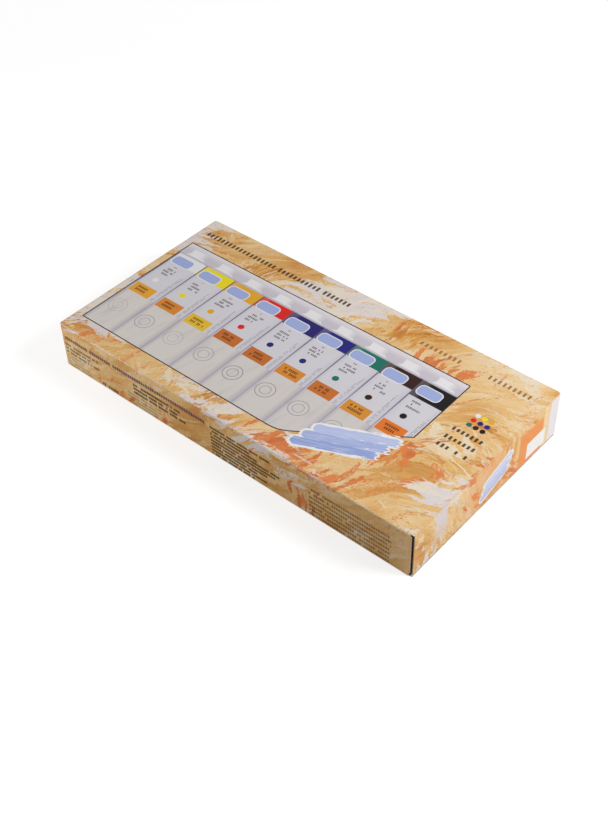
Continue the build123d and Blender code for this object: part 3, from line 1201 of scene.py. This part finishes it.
class Finish:
    """A material in the making: the bench of its tree and its Principled shader."""

    def __init__(self, name: str) -> None:
        """Start the material.

        Args:
            name: the material's name.
        """
        self.material = bpy.data.materials.new(name)
        self.material.use_nodes = True
        self.bench = Bench(self.material.node_tree)

    def wire(self, sockets: dict[str, Value]) -> bpy.types.Material:
        """Feed the shader's own sockets.

        Args:
            sockets: values or signals by socket name.

        Returns:
            The finished material.
        """
        shader = self.material.node_tree.nodes["Principled BSDF"]
        for name, value in sockets.items():
            self.bench.feed(shader.inputs[name], value)
        return self.material


@dataclass(frozen=True)
class VarnishedPrint:
    """Printed outside of the carton under satin varnish, a little uneven over the tooth of the board."""

    face: Face
    roughness: float = 0.46
    roughness_swing: float = 0.14
    specular: float = 0.3
    tooth: float = 0.04 * MM

    def material(self) -> bpy.types.Material:
        """Make the print of one face, read from the sheet places that a skin carries.

        Returns:
            The material.
        """
        finish = Finish(f"print_{self.face.value}")
        bench = finish.bench
        sheet = bench.add("ShaderNodeAttribute", attribute_type="GEOMETRY", attribute_name=SHEET)
        place = bench.in_mm(bench.out(sheet, "Vector"))
        return finish.wire({
            "Base Color": ARTWORK.colour(bench, place, self.face),
            "Roughness": bench.grain(place, 0.12, 3.0) * self.roughness_swing + self.roughness,
            "Specular IOR Level": self.specular,
            "Normal": bench.bump(bench.grain(place, 1.1, 3.0, 0.6), self.tooth, 0.5),
        })


@cache
def printed(face: Face) -> bpy.types.Material:
    """The printed outside of one face, made on first use."""
    return VarnishedPrint(face).material()


class Reach(Enum):
    """How far the print goes over the outside of a board node."""

    WHOLE = "whole"
    BLEED = "bleed"


@dataclass(frozen=True)
class CreasedBoard:
    """Board of a CAD node: print or white coating outside, bare fibres inside and on its cut edges."""

    node: str
    face: Face
    outward: tuple[Point, ...]
    reach: Reach = Reach.WHOLE
    bleed: float = 5.0
    coating: str = "E9E6DF"
    fibre_relief: float = 0.05 * MM

    def sheet_place(self, bench: Bench, place: Signal) -> Signal:
        """Work out places on the unfolded sheet from places on the node.

        Args:
            bench: bench of the material.
            place: places on the node, in millimetres.

        Returns:
            Places on the sheet.
        """
        x, y, z = bench.axes(place)
        return {
            Face.TOP: lambda: bench.joined(x, y),
            Face.FRONT: lambda: bench.joined(x, z - ARTWORK.wall_zero),
            Face.BACK: lambda: bench.joined(x, ARTWORK.wall_zero - z),
            Face.BASE: lambda: bench.joined(x, y * -1.0 - ARTWORK.base_zero),
            Face.RIGHT_END: lambda: bench.joined(ARTWORK.end_zero - z, y),
            Face.LEFT_END: lambda: bench.joined(z - ARTWORK.end_zero, y),
        }[self.face]()

    def bleed_mask(self, bench: Bench, place: Signal) -> Signal:
        """Mark the bleed past the crease that carries this flap or tongue.

        Args:
            bench: bench of the material.
            place: places on the node, in millimetres.

        Returns:
            1 within the bleed and 0 past it.
        """
        x, y, _ = bench.axes(place)
        outward, crease = (x, HALF_LENGTH) if self.node.endswith("tuck_tongue") else (y, HALF_WIDTH)
        return bench.rise(abs(outward), crease - self.bleed, crease - self.bleed + 0.2)

    def painted_slit_shade_mask(self, bench: Bench, place: Signal) -> Signal:
        """Mark the fold into a dust flap that gets painted shade, standing in for the dark slit beside the
        closure.

        Args:
            bench: bench of the material.
            place: places on the node, in millimetres.

        Returns:
            1 on that part of the fold.
        """
        x, y, _ = bench.axes(place)
        fold_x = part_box("front_side_panel")[1].x / MM
        near_end = bench.rise(abs(x), fold_x - 1.5, fold_x - 1.3)
        return near_end * bench.between(HALF_WIDTH - abs(y), 0.6, 2.6)

    def material(self) -> bpy.types.Material:
        """Make the board's material.

        Returns:
            The material.
        """
        finish = Finish(f"board_{self.node}")
        bench = finish.bench
        place = bench.on_object()
        normal = bench.coordinates("Normal")
        facing = 0.0
        for direction in self.outward:
            level = bench.vector("DOT_PRODUCT", {0: normal, 1: direction}, "Value")
            facing = bench.most(bench.rise(level, 0.45, 0.55), facing)
        outside = ARTWORK.ground(bench, self.sheet_place(bench, place))
        if self.reach is Reach.BLEED:
            outside = bench.mix(self.bleed_mask(bench, place), ink(self.coating), outside)
        # Painted shade on the folds of the side panels and dust flaps, seen through the slit beside the
        # closure.
        if "side_panel" in self.node or "dust_flap" in self.node:
            outside = bench.mix(self.painted_slit_shade_mask(bench, place) * 0.85, outside, ink(ARTWORK.painted_slit_shade))
        bare = BoardFibres().place(bench, place=place)
        return finish.wire({
            "Base Color": bench.mix(facing, bare["Colour"], outside),
            "Roughness": facing * -0.4 + 0.9,
            "Normal": bench.bump(bare["Height"] * (1.0 - facing), self.fibre_relief),
        })


@dataclass(frozen=True)
class BareBoard:
    """Uncoated inside of the board, for the skins' undersides."""

    roughness: float = 0.9
    fibre_relief: float = 0.05 * MM

    def material(self) -> bpy.types.Material:
        """Make the bare board's material.

        Returns:
            The material.
        """
        finish = Finish("board_bare")
        bench = finish.bench
        bare = BoardFibres().place(bench, place=bench.on_object())
        return finish.wire({
            "Base Color": bare["Colour"],
            "Roughness": self.roughness,
            "Normal": bench.bump(bare["Height"], self.fibre_relief),
        })


@dataclass(frozen=True)
class TubeEnamel:
    """White enamel on soft aluminium, with a band in the paint's colour and a plain label."""

    colour: str
    band: str
    bar: str
    number: int
    white: str = "ECEBEC"
    type_ink: str = "5A5566"
    dent_depth: float = 1.2 * MM

    def material(self, middle: Vector, radius: float) -> bpy.types.Material:
        """Make the enamel of one tube.

        Args:
            middle: centre of the tube's shoulder, in metres.
            radius: the tube's radius, in metres.

        Returns:
            The material.
        """
        finish = Finish(f"enamel_{self.colour}")
        bench = finish.bench
        place = bench.in_mm(bench.vector("SUBTRACT", {0: bench.coordinates("Object"), 1: middle[:]}))
        livery = TubeLivery().place(bench, place=place, radius=radius / MM, seed=float(self.number))
        colour = bench.layered(ink(self.white), (livery["Band"], ink(self.band)),
                               (livery["Bar"], ink(self.bar)), (livery["Type"] * 0.8, ink(self.type_ink)))
        return finish.wire({
            "Base Color": colour,
            "Roughness": livery["Dent"] * 0.12 + 0.22,
            "Normal": bench.bump(livery["Dent"], self.dent_depth, 0.7),
        })


@dataclass(frozen=True)
class CapPlastic:
    """Moulded white plastic of the screw caps."""

    colour: str = "EFEFEE"
    cloud: str = "DEDDDA"
    roughness: float = 0.34
    relief: float = 0.02 * MM

    def material(self) -> bpy.types.Material:
        """Make the caps' material.

        Returns:
            The material.
        """
        finish = Finish("cap_plastic")
        bench = finish.bench
        place = bench.on_object()
        return finish.wire({
            "Base Color": bench.mix(bench.grain(place, 0.2, 2.0) * 0.3, ink(self.colour), ink(self.cloud)),
            "Roughness": self.roughness,
            "Normal": bench.bump(bench.grain(place, 4.0, 2.0), self.relief),
        })


@dataclass(frozen=True)
class PaintPaste:
    """Thick oil paint, drawn into low ridges."""

    name: str
    colour: str
    roughness: float = 0.25
    ridge: float = 0.3 * MM

    def material(self) -> bpy.types.Material:
        """Make the paste's material.

        Returns:
            The material.
        """
        finish = Finish(f"paste_{self.name}")
        bench = finish.bench
        ridges = bench.streaks(bench.on_object(), 8.0, 7.0, 0.7, 3.0)
        base = ink(self.colour)
        deep = tuple(channel * 0.8 for channel in base[:3]) + (1.0,)
        return finish.wire({
            "Base Color": bench.mix(ridges, base, deep),
            "Roughness": self.roughness,
            "Normal": bench.bump(ridges, self.ridge),
        })


# Skins of printed paper over the board

@dataclass(frozen=True)
class FoldPoint:
    """One station on a folded path: its place, its outward direction and how far along the sheet it is."""

    place: Vector
    outward: Vector
    along: float

    def lifted(self, lift: float) -> Vector:
        """A point over the station, a little way off the board."""
        return self.place + self.outward * lift


@dataclass(frozen=True)
class FoldedPath:
    """A path of straight legs joined by round creases, in the plane of the fold."""

    corners: tuple[tuple[float, float], ...]
    radius: float
    outside: int
    step: float = 4.0 * MM
    crease_steps: int = 8

    def stations(self) -> list[FoldPoint]:
        """Walk along the path, in short steps on the creases.

        Returns:
            The stations in order.
        """
        points = [Vector(corner) for corner in self.corners]
        legs = [(after - before).normalized() for before, after in zip(points, points[1:])]
        sides = [Vector((-leg.y, leg.x)) * self.outside for leg in legs]
        stations: list[FoldPoint] = []
        along = 0.0
        start = points[0]
        for number, leg in enumerate(legs):
            last = number == len(legs) - 1
            turn = 0.0 if last else leg.angle_signed(legs[number + 1])
            setback = 0.0 if last else self.radius * math.tan(abs(turn) / 2)
            end = points[number + 1] - leg * setback
            run = (end - start).length
            pieces = max(1, math.ceil(run / self.step))
            for piece in range(pieces + (1 if last else 0)):
                share = piece / pieces
                stations.append(FoldPoint(start.lerp(end, share), sides[number], along + run * share))
            along += run
            if last:
                break
            centre = end - sides[number] * self.radius
            arc = self.radius * abs(turn)
            for piece in range(self.crease_steps):
                share = piece / self.crease_steps
                outward = sides[number].copy()
                outward.rotate(Matrix.Rotation(-turn * share, 2))
                stations.append(FoldPoint(centre + outward * self.radius, outward, along + arc * share))
            along += arc
            start = points[number + 1] + legs[number + 1] * setback
        return stations


def spread(half_span: float, step: float) -> list[float]:
    """Evenly spaced places from minus to plus half a span."""
    pieces = max(2, round(2 * half_span / step))
    return [-half_span + 2 * half_span * piece / pieces for piece in range(pieces + 1)]


def belly(share: float) -> float:
    """How far a panel bellies out, 0 at both edges and 1 in the middle."""
    return math.sin(math.pi * share) ** 0.7


def closed_sheet(name: str, outer: list[list[Vector]], inner: list[list[Vector]],
                 sheet: list[list[tuple[float, float]]], dress: bpy.types.Material,
                 lining: bpy.types.Material) -> bpy.types.Object:
    """Make a thin closed sheet from two grids of points.

    Args:
        name: the piece's name.
        outer: rows of points on the outside.
        inner: rows of points on the inside, as many as outside.
        sheet: places on the unfolded sheet, in metres, as many as points outside.
        dress: material of the outside.
        lining: material of the inside and the rim.

    Returns:
        The new object, linked to the scene.
    """
    rows, columns = len(outer), len(outer[0])
    vertices = [point for grid in (outer, inner) for row in grid for point in row]
    under = rows * columns
    faces = []
    for row in range(rows - 1):
        for column in range(columns - 1):
            corner = row * columns + column
            quad = [corner, corner + 1, corner + columns + 1, corner + columns]
            faces.append(quad)
            faces.append([vertex + under for vertex in reversed(quad)])
    rim = list(range(columns))
    rim += [row * columns + columns - 1 for row in range(1, rows)]
    rim += [(rows - 1) * columns + column for column in range(columns - 2, -1, -1)]
    rim += [row * columns for row in range(rows - 2, 0, -1)]
    smooth_count = len(faces)
    for here, there in zip(rim, rim[1:] + rim[:1]):
        faces.append([there, here, here + under, there + under])
    mesh = bpy.data.meshes.new(name)
    mesh.from_pydata(vertices, [], faces)
    for polygon in mesh.polygons:
        polygon.use_smooth = polygon.index < smooth_count
        polygon.material_index = 0 if polygon.use_smooth and polygon.index % 2 == 0 else 1
    mesh.materials.append(dress)
    mesh.materials.append(lining)
    places = mesh.attributes.new(SHEET, "FLOAT_VECTOR", "POINT")
    flat = [(x, y, 0.0) for _ in (outer, inner) for row in sheet for x, y in row]
    places.data.foreach_set("vector", [number for place in flat for number in place])
    shaped = bmesh.new()
    shaped.from_mesh(mesh)
    bmesh.ops.recalc_face_normals(shaped, faces=shaped.faces)
    for edge in shaped.edges:
        edge.smooth = edge.calc_face_angle(0.0) < SHARP_TURN
    shaped.to_mesh(mesh)
    shaped.free()
    return put_in_scene(name, mesh)


@dataclass
class PrintedSleeve:
    """Printed outside of the sleeve: back side, top, front side and base in one folded sheet."""

    lining: bpy.types.Material
    skin: float = 0.04 * MM
    sunk: float = 0.02 * MM
    crease_radius: float = 1.0 * MM
    step: float = 4.0 * MM
    top_rise: float = 0.30 * MM
    side_rise: float = 0.22 * MM
    end_margin: float = 1.2 * MM
    ripples: float = 26.0
    ripples_round: float = 31.0
    name: str = "printed_sleeve"

    def half_spans(self) -> tuple[float, float, float]:
        """Half lengths of the sheet on the sides, the top and the base."""
        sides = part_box("front_side_panel")[1].x - self.crease_radius
        return sides, CAD_BOX[1].x - self.end_margin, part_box("bottom_panel")[1].x

    def lift(self, x: float, along: float, zero: float) -> float:
        """Work out how far the sheet stands off the board, where the panels belly out a little.

        Args:
            x: place along the carton.
            along: distance from the top's middle line on the sheet, plus towards the back.
            zero: distance at which the sides meet the base.

        Returns:
            The height over the board.
        """
        crease = ARTWORK.half_width * MM
        if abs(along) < crease:
            share, rise = (along + crease) / (2 * crease), self.top_rise
        elif abs(along) < zero:
            share, rise = (abs(along) - crease) / (zero - crease), self.side_rise
        else:
            return self.skin / 2
        ends = 1 - abs(x / CAD_BOX[1].x) ** 6
        ripple = noise.noise(Vector((x * self.ripples, along * self.ripples_round, 0.4))) * 0.5
        return self.skin + rise * belly(share) * ends * (0.8 + ripple)

    def build(self) -> bpy.types.Object:
        """Fold the sheet round the sleeve.

        Returns:
            The new piece.
        """
        half_width, height = CAD_BOX[1].y, CAD_BOX[1].z
        corners = ((half_width, 0.01 * MM), (half_width, height), (-half_width, height), (-half_width, 0.0),
                   (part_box("bottom_panel")[1].y - 0.5 * MM, 0.0))
        stations = FoldedPath(corners, self.crease_radius, -1, self.step).stations()
        middle = next(s.along for s in stations if s.place.y >= height) + half_width - self.crease_radius
        side_half, top_half, base_half = self.half_spans()
        shares = spread(1.0, self.step / top_half)
        outer, inner, sheet = [], [], []
        for station in stations:
            along = middle - station.along
            if abs(station.outward.y) < 0.99:
                half = side_half
            else:
                half = top_half if station.outward.y > 0 else base_half
            xs = [share * half for share in shares]
            outer.append([self.at(x, station, self.lift(x, along, middle)) for x in xs])
            inner.append([self.at(x, station, -self.sunk) for x in xs])
            sheet.append([(x, along) for x in xs])
        piece = closed_sheet(self.name, outer, inner, sheet, printed(Face.TOP), self.lining)
        self.dress_faces(piece)
        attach(piece, "carton")
        return piece

    def at(self, x: float, station: FoldPoint, lift: float) -> Vector:
        """A point over a station, a little way off the board."""
        return Vector((x, *station.lifted(lift)))

    def dress_faces(self, piece: bpy.types.Object) -> None:
        """Give each face of the sleeve its own print.

        Args:
            piece: the sleeve, printed as the top all over.
        """
        crease, wall = ARTWORK.half_width * MM, ARTWORK.base_crease * MM
        slots = {}
        for face in (Face.FRONT, Face.BACK, Face.BASE):
            slots[face] = len(piece.data.materials)
            piece.data.materials.append(printed(face))
        places = piece.data.attributes[SHEET].data
        for polygon in piece.data.polygons:
            if polygon.material_index != 0:
                continue
            along = sum(places[v].vector[1] for v in polygon.vertices) / len(polygon.vertices)
            if along < -wall:
                polygon.material_index = slots[Face.BASE]
            elif abs(along) > crease:
                polygon.material_index = slots[Face.FRONT if along < 0 else Face.BACK]


@dataclass
class TuckEnd:
    """Printed outside of one end: closure panel, and the strips that bend over its two creases."""

    name: str
    end: int
    lining: bpy.types.Material
    skin: float = 0.04 * MM
    strip_skin: float = 0.07 * MM
    sunk: float = 0.02 * MM
    board: float = 0.5 * MM
    crease_radius: float = 1.0 * MM
    leg: float = 1.7 * MM
    step: float = 4.0 * MM
    rise: float = 0.18 * MM
    tongue_depth: float = 12.0 * MM
    tongue_tilt: float = 17.0

    def path(self) -> list[FoldPoint]:
        """Fold a path from the top panel's end over the closure to the tongue's tip.

        Returns:
            Its stations.
        """
        length, height = CAD_BOX[1].x, CAD_BOX[1].z
        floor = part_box("bottom_panel")[1].z + 0.1 * MM
        tilt = math.radians(self.tongue_tilt)
        tip = (length - self.tongue_depth * math.cos(tilt), floor + self.tongue_depth * math.sin(tilt))
        corners = ((length - self.leg, height), (length, height), (length, floor), tip)
        return FoldedPath(corners, self.crease_radius, 1, self.step).stations()

    def sheet(self, title: str, first: float, last: float, half: float, skin: float, depth: float,
              rise: float = 0.0) -> bpy.types.Object:
        """Make the part of the end's print between two distances along the path.

        Args:
            title: the piece's name.
            first: where it starts along the path.
            last: where it ends along the path.
            half: half of its width.
            skin: its height over the board.
            depth: how far its inside lies under the board's outside.
            rise: how far its middle bellies out.

        Returns:
            The new piece.
        """
        stations = [station for station in self.path() if first <= station.along <= last]
        ys = spread(half, self.step)
        low, high = stations[0].along, stations[-1].along
        outer, inner, sheet = [], [], []
        for station in stations:
            swell = rise * belly((station.along - low) / (high - low))
            outer.append([self.at(y, station, skin + swell * (1 - abs(y / half) ** 6)) for y in ys])
            inner.append([self.at(y, station, -depth) for y in ys])
            on_sheet = self.end * (CAD_BOX[1].x - self.leg + station.along)
            sheet.append([(on_sheet, y) for y in ys])
        return closed_sheet(title, outer, inner, sheet, printed(Face.of_end(self.end)), self.lining)

    def at(self, y: float, station: FoldPoint, lift: float) -> Vector:
        """A point over a station, a little way off the board."""
        place = station.lifted(lift)
        return Vector((self.end * place.x, y, place.y))

    def build(self) -> list[bpy.types.Object]:
        """Make the closure's print and both crease strips.

        Returns:
            The three new pieces.
        """
        closure, tongue = f"{self.name}_closure_panel", f"{self.name}_tuck_tongue"
        wall = [station.along for station in self.path() if station.outward.x > 0.999]
        top_of_wall, foot_of_wall = min(wall), max(wall)
        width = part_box(closure)[1].y
        panel = self.sheet(f"printed_{self.name}_closure", top_of_wall, foot_of_wall + 0.01 * MM,
                           width - 0.02 * MM, self.skin, -self.skin + self.sunk * 3, self.rise)
        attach(panel, closure)
        top_strip = self.sheet(f"printed_{self.name}_top_crease", 0.0, top_of_wall + 1.0 * MM,
                               width - 0.4 * MM, self.strip_skin, self.board + self.sunk)
        self.on_path(0.8 * self.crease_radius)
        self.on_path(top_of_wall)
        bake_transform(top_strip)
        tongue_strip = self.sheet(f"printed_{self.name}_tongue_crease", foot_of_wall - 1.0 * MM,
                                  foot_of_wall + 3.6 * MM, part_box(tongue)[1].y - 0.1 * MM,
                                  self.strip_skin, self.sunk)
        self.on_path(foot_of_wall)
        self.on_path(foot_of_wall + 1.9 * MM)
        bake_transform(tongue_strip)
        pieces = [panel, top_strip, tongue_strip]
        return pieces

    def on_path(self, along: float) -> Point:
        """The place on the path nearest to a distance along it, at the middle of the end."""
        station = min(self.path(), key=lambda s: abs(s.along - along))
        return self.end * station.place.x, 0.0, station.place.y


@dataclass
class FlapCrease:
    """Printed strip over the fold from a long side into one dust flap."""

    end_name: str
    end: int
    side_name: str
    side: int
    lining: bpy.types.Material
    skin: float = 0.07 * MM
    through: float = 0.52 * MM
    crease_radius: float = 1.0 * MM
    lip: float = 1.6 * MM
    reach: float = 1.9 * MM
    margin: float = 0.05 * MM
    top_taper: float = 18.0
    bottom_taper: float = 6.0
    step: float = 4.0 * MM

    def joint(self) -> dict:
        """The record's entry of the hinge in this fold."""
        name = f"{self.end_name}_{self.side_name}_flap_crease"
        return next(joint for joint in frame["record"]["behaviour"]["joints"] if joint["name"] == name)

    def path(self) -> tuple[list[FoldPoint], Vector]:
        """Fold a path, seen from above, from the side's end over the crease onto the flap.

        Returns:
            Its stations and its corner.
        """
        joint = self.joint()
        corner = Vector((abs(joint["pos_m"][0]), abs(joint["pos_m"][1])))
        slant = math.radians(joint["range_deg"][1] - 90)
        tip = corner - Vector((math.sin(slant), math.cos(slant))) * self.reach
        corners = ((corner.x - self.lip, corner.y), corner[:], tip[:])
        return FoldedPath(corners, self.crease_radius, 1, self.step).stations(), corner

    def build(self) -> bpy.types.Object:
        """Fold the strip round the crease, as tall as the flap is there.

        Returns:
            The new piece.
        """
        flap = f"{self.end_name}_{self.side_name}_dust_flap"
        low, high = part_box(flap)
        stations, corner = self.path()
        rise, fall = (math.tan(math.radians(taper)) for taper in (self.bottom_taper, self.top_taper))
        shares = spread(1.0, 2 * self.step / (high.z - low.z))
        outer, inner, sheet = [], [], []
        for station in stations:
            depth = corner.y - station.place.y
            foot = low.z + depth * rise + self.margin
            head = high.z - depth * fall - self.margin
            zs = [(foot + head) / 2 + share * (head - foot) / 2 for share in shares]
            outer.append([self.at(station, self.skin, z) for z in zs])
            inner.append([self.at(station, -self.through, z) for z in zs])
            on_sheet = self.end * (corner.x - self.lip + station.along)
            sheet.append([(on_sheet, self.side * (ARTWORK.wall_zero * MM - z)) for z in zs])
        title = f"printed_{self.end_name}_{self.side_name}_flap_crease"
        strip = closed_sheet(title, outer, inner, sheet, printed(Face.of_side(self.side)), self.lining)
        bend = [station for station in stations if 0.001 < station.outward.x < 0.98]
        middle = (low.z + high.z) / 2
        self.at(bend[0], 0.0, middle)[:]
        self.at(bend[-1], 0.0, middle)[:]
        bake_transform(strip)
        return strip

    def at(self, station: FoldPoint, lift: float, z: float) -> Vector:
        """A point over a station, a little way off the board."""
        place = station.lifted(lift)
        return Vector((self.end * place.x, self.side * place.y, z))


# What the carton is made of and what it holds

def dress_node(name: str, material: bpy.types.Material) -> None:
    """Give a CAD node one material and report it.

    Args:
        name: the node's name.
        material: its only material.
    """
    mesh = frame["nodes"][name].data
    mesh.materials.clear()
    mesh.materials.append(material)
    log.info("%s: %s", name, material.name)


class CartonBoard:
    """The carton's folded board: it dresses the CAD nodes of the panels, flaps and tongues."""

    outer_edges = ((1, 0, 0), (-1, 0, 0))

    def boards(self) -> list[CreasedBoard]:
        """List one board finish for each CAD node of the carton.

        Returns:
            The finishes.
        """
        boards = [
            CreasedBoard("top_panel", Face.TOP, ((0, 0, 1), *self.outer_edges)),
            CreasedBoard("bottom_panel", Face.BASE, ((0, 0, -1),)),
            CreasedBoard("glue_flap", Face.BASE, ((0, 0, -1),)),
        ]
        for side, y in SIDES.items():
            outward = ((0, y, 0), (0, 0, 1), *self.outer_edges)
            boards.append(CreasedBoard(f"{side}_side_panel", Face.of_side(y), outward))
        for end, x in ENDS.items():
            face = Face.of_end(x)
            boards.append(CreasedBoard(f"{end}_closure_panel", face, ((x, 0, 0),)))
            boards.append(CreasedBoard(f"{end}_tuck_tongue", face, ((0, 0, -1), (x, 0, 0)), Reach.BLEED))
            for side, y in SIDES.items():
                flap, outward = f"{end}_{side}_dust_flap", ((x, 0, 0), (0, y, 0))
                boards.append(CreasedBoard(flap, Face.of_side(y), outward, Reach.BLEED))
        return boards

    def dress(self) -> None:
        """Put the board's materials on the nodes."""
        for board in self.boards():
            dress_node(board.node, board.material())


@dataclass(frozen=True)
class PaintTube:
    """One colour of the set: its tube, its cap and its paint."""

    name: str
    number: int
    band: str
    bar: str
    paste: str
    shoulder_below_cap: float = 6.2 * MM
    radius: float = 14.0 * MM

    def dress(self, cap_material: bpy.types.Material) -> None:
        """Put the materials on the tube, its paint and its cap.

        Args:
            cap_material: the plastic that all caps share.
        """
        cap_low, cap_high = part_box(f"cap_{self.name}")
        middle = (cap_low + cap_high) / 2
        middle.y = cap_low.y - self.shoulder_below_cap
        enamel = TubeEnamel(self.name, self.band, self.bar, self.number)
        dress_node(f"tube_{self.name}", enamel.material(middle, self.radius))
        dress_node(f"cap_{self.name}", cap_material)
        dress_node(f"paint_{self.name}", PaintPaste(self.name, self.paste).material())


PASTES = {
    "white": "F0EEE8", "lemon": "F2DE2C", "ochre": "C98A2B", "red": "D8261E", "violet": "3A2670",
    "ultramarine": "1F2F9A", "green": "0F6A5A", "umber": "4A2C1E", "black": "1C1A1D",
}


# Stage

@dataclass(frozen=True)
class SoftLamp:
    """A square soft lamp aimed at the carton."""

    name: str
    place: Point
    size: float
    power: float

    def build(self) -> None:
        """Hang the lamp."""
        data = bpy.data.lights.new(self.name, "AREA")
        data.size = self.size
        data.energy = self.power
        lamp = put_in_scene(self.name, data)
        lamp.location = self.place
        lamp.rotation_euler = (-Vector(self.place)).to_track_quat("-Z", "Y").to_euler()


@dataclass(frozen=True)
class PhotoStage:
    """Plain white stage with soft light and a camera at the photograph's angle."""

    azimuth: float = math.radians(41.75)
    elevation: float = math.radians(43.85)
    roll: float = math.radians(-1.74)
    focal_pixels: float = 1240.0
    image_height: float = 836.0
    sensor: float = 36.0
    nearest: float = 0.01
    distance: float = 807.4 * MM
    aside: float = -1.24 * MM
    lowered: float = 13.74 * MM
    floor_size: float = 8.0
    floor_level: float = -0.05 * MM
    floor_grey: float = 0.42
    sky: float = 0.31
    near_glow: float = 0.74
    far_glow: float = 0.88
    glow_reach: tuple[float, float] = (0.4, 1.3)
    lamps: tuple[SoftLamp, ...] = (
        SoftLamp("key", (0.78, 0.40, 0.68), 0.5, 10.2),
        SoftLamp("fill", (-0.50, -0.42, 0.12), 0.2, 1.7),
    )

    def camera(self) -> None:
        """Place the camera."""
        level = math.cos(self.elevation)
        back = Vector((math.sin(self.azimuth) * level, -math.cos(self.azimuth) * level,
                       math.sin(self.elevation)))
        level_right = (-back).cross(Vector((0, 0, 1))).normalized()
        level_up = level_right.cross(-back)
        right = level_right * math.cos(self.roll) + level_up * math.sin(self.roll)
        up = level_up * math.cos(self.roll) - level_right * math.sin(self.roll)
        data = bpy.data.cameras.new("camera")
        data.sensor_width = self.sensor
        data.lens = self.focal_pixels * self.sensor / self.image_height
        data.clip_start = self.nearest
        camera = put_in_scene("camera", data)
        camera.matrix_world = Matrix((right, up, back)).transposed().to_4x4()
        camera.location = back * self.distance - right * self.aside - up * self.lowered
        bpy.context.scene.camera = camera

    def floor(self) -> None:
        """Lay a pale floor that looks white to the camera and keeps the shadow."""
        half = self.floor_size / 2
        corners = [(-half, -half), (half, -half), (half, half), (-half, half)]
        mesh = bpy.data.meshes.new("floor")
        mesh.from_pydata([(x, y, self.floor_level) for x, y in corners], [], [(0, 1, 2, 3)])
        finish = Finish("floor")
        bench = finish.bench
        reach = bench.vector("LENGTH", {0: bench.coordinates("Object")}, "Value")
        glow = bench.mix(bench.rise(reach, *self.glow_reach), grey(self.near_glow), grey(self.far_glow))
        mesh.materials.append(finish.wire({
            "Base Color": grey(self.floor_grey),
            "Roughness": 0.9,
            "Specular IOR Level": 0.1,
            "Emission Color": bench.mix(bench.camera_ray(), grey(0.0), glow),
            "Emission Strength": 1.0,
        }))
        put_in_scene("floor", mesh)

    def world(self) -> None:
        """Light the scene evenly from all round, white where the camera sees it."""
        world = bpy.data.worlds.new("studio")
        world.use_nodes = True
        bench = Bench(world.node_tree)
        background = world.node_tree.nodes["Background"]
        bench.feed(background.inputs["Color"], bench.mix(bench.camera_ray(), grey(self.sky), grey(1.0)))
        bpy.context.scene.world = world

    def build(self) -> None:
        """Set up the stage."""
        bpy.context.scene.view_settings.view_transform = "Standard"
        self.world()
        self.floor()
        for lamp in self.lamps:
            lamp.build()
        self.camera()


def main() -> None:
    """Build the carton, its contents and the stage, and report each piece."""
    logging.basicConfig(level=logging.INFO, format="%(message)s")
    lining = BareBoard().material()
    CartonBoard().dress()
    pieces = [PrintedSleeve(lining).build()]
    for name, end in ENDS.items():
        pieces += TuckEnd(name, end, lining).build()
        pieces += [FlapCrease(name, end, side, y, lining).build() for side, y in SIDES.items()]
    for piece in pieces:
        log.info("%s: %d faces", piece.name, len(piece.data.polygons))
    cap_material = CapPlastic().material()
    picture = PicturedTubes()
    for number, (name, paste) in enumerate(PASTES.items()):
        PaintTube(name, number, picture.bands[number], picture.bars[number], paste).dress(cap_material)
    PhotoStage().build()


if __name__ == "__main__":
    main()
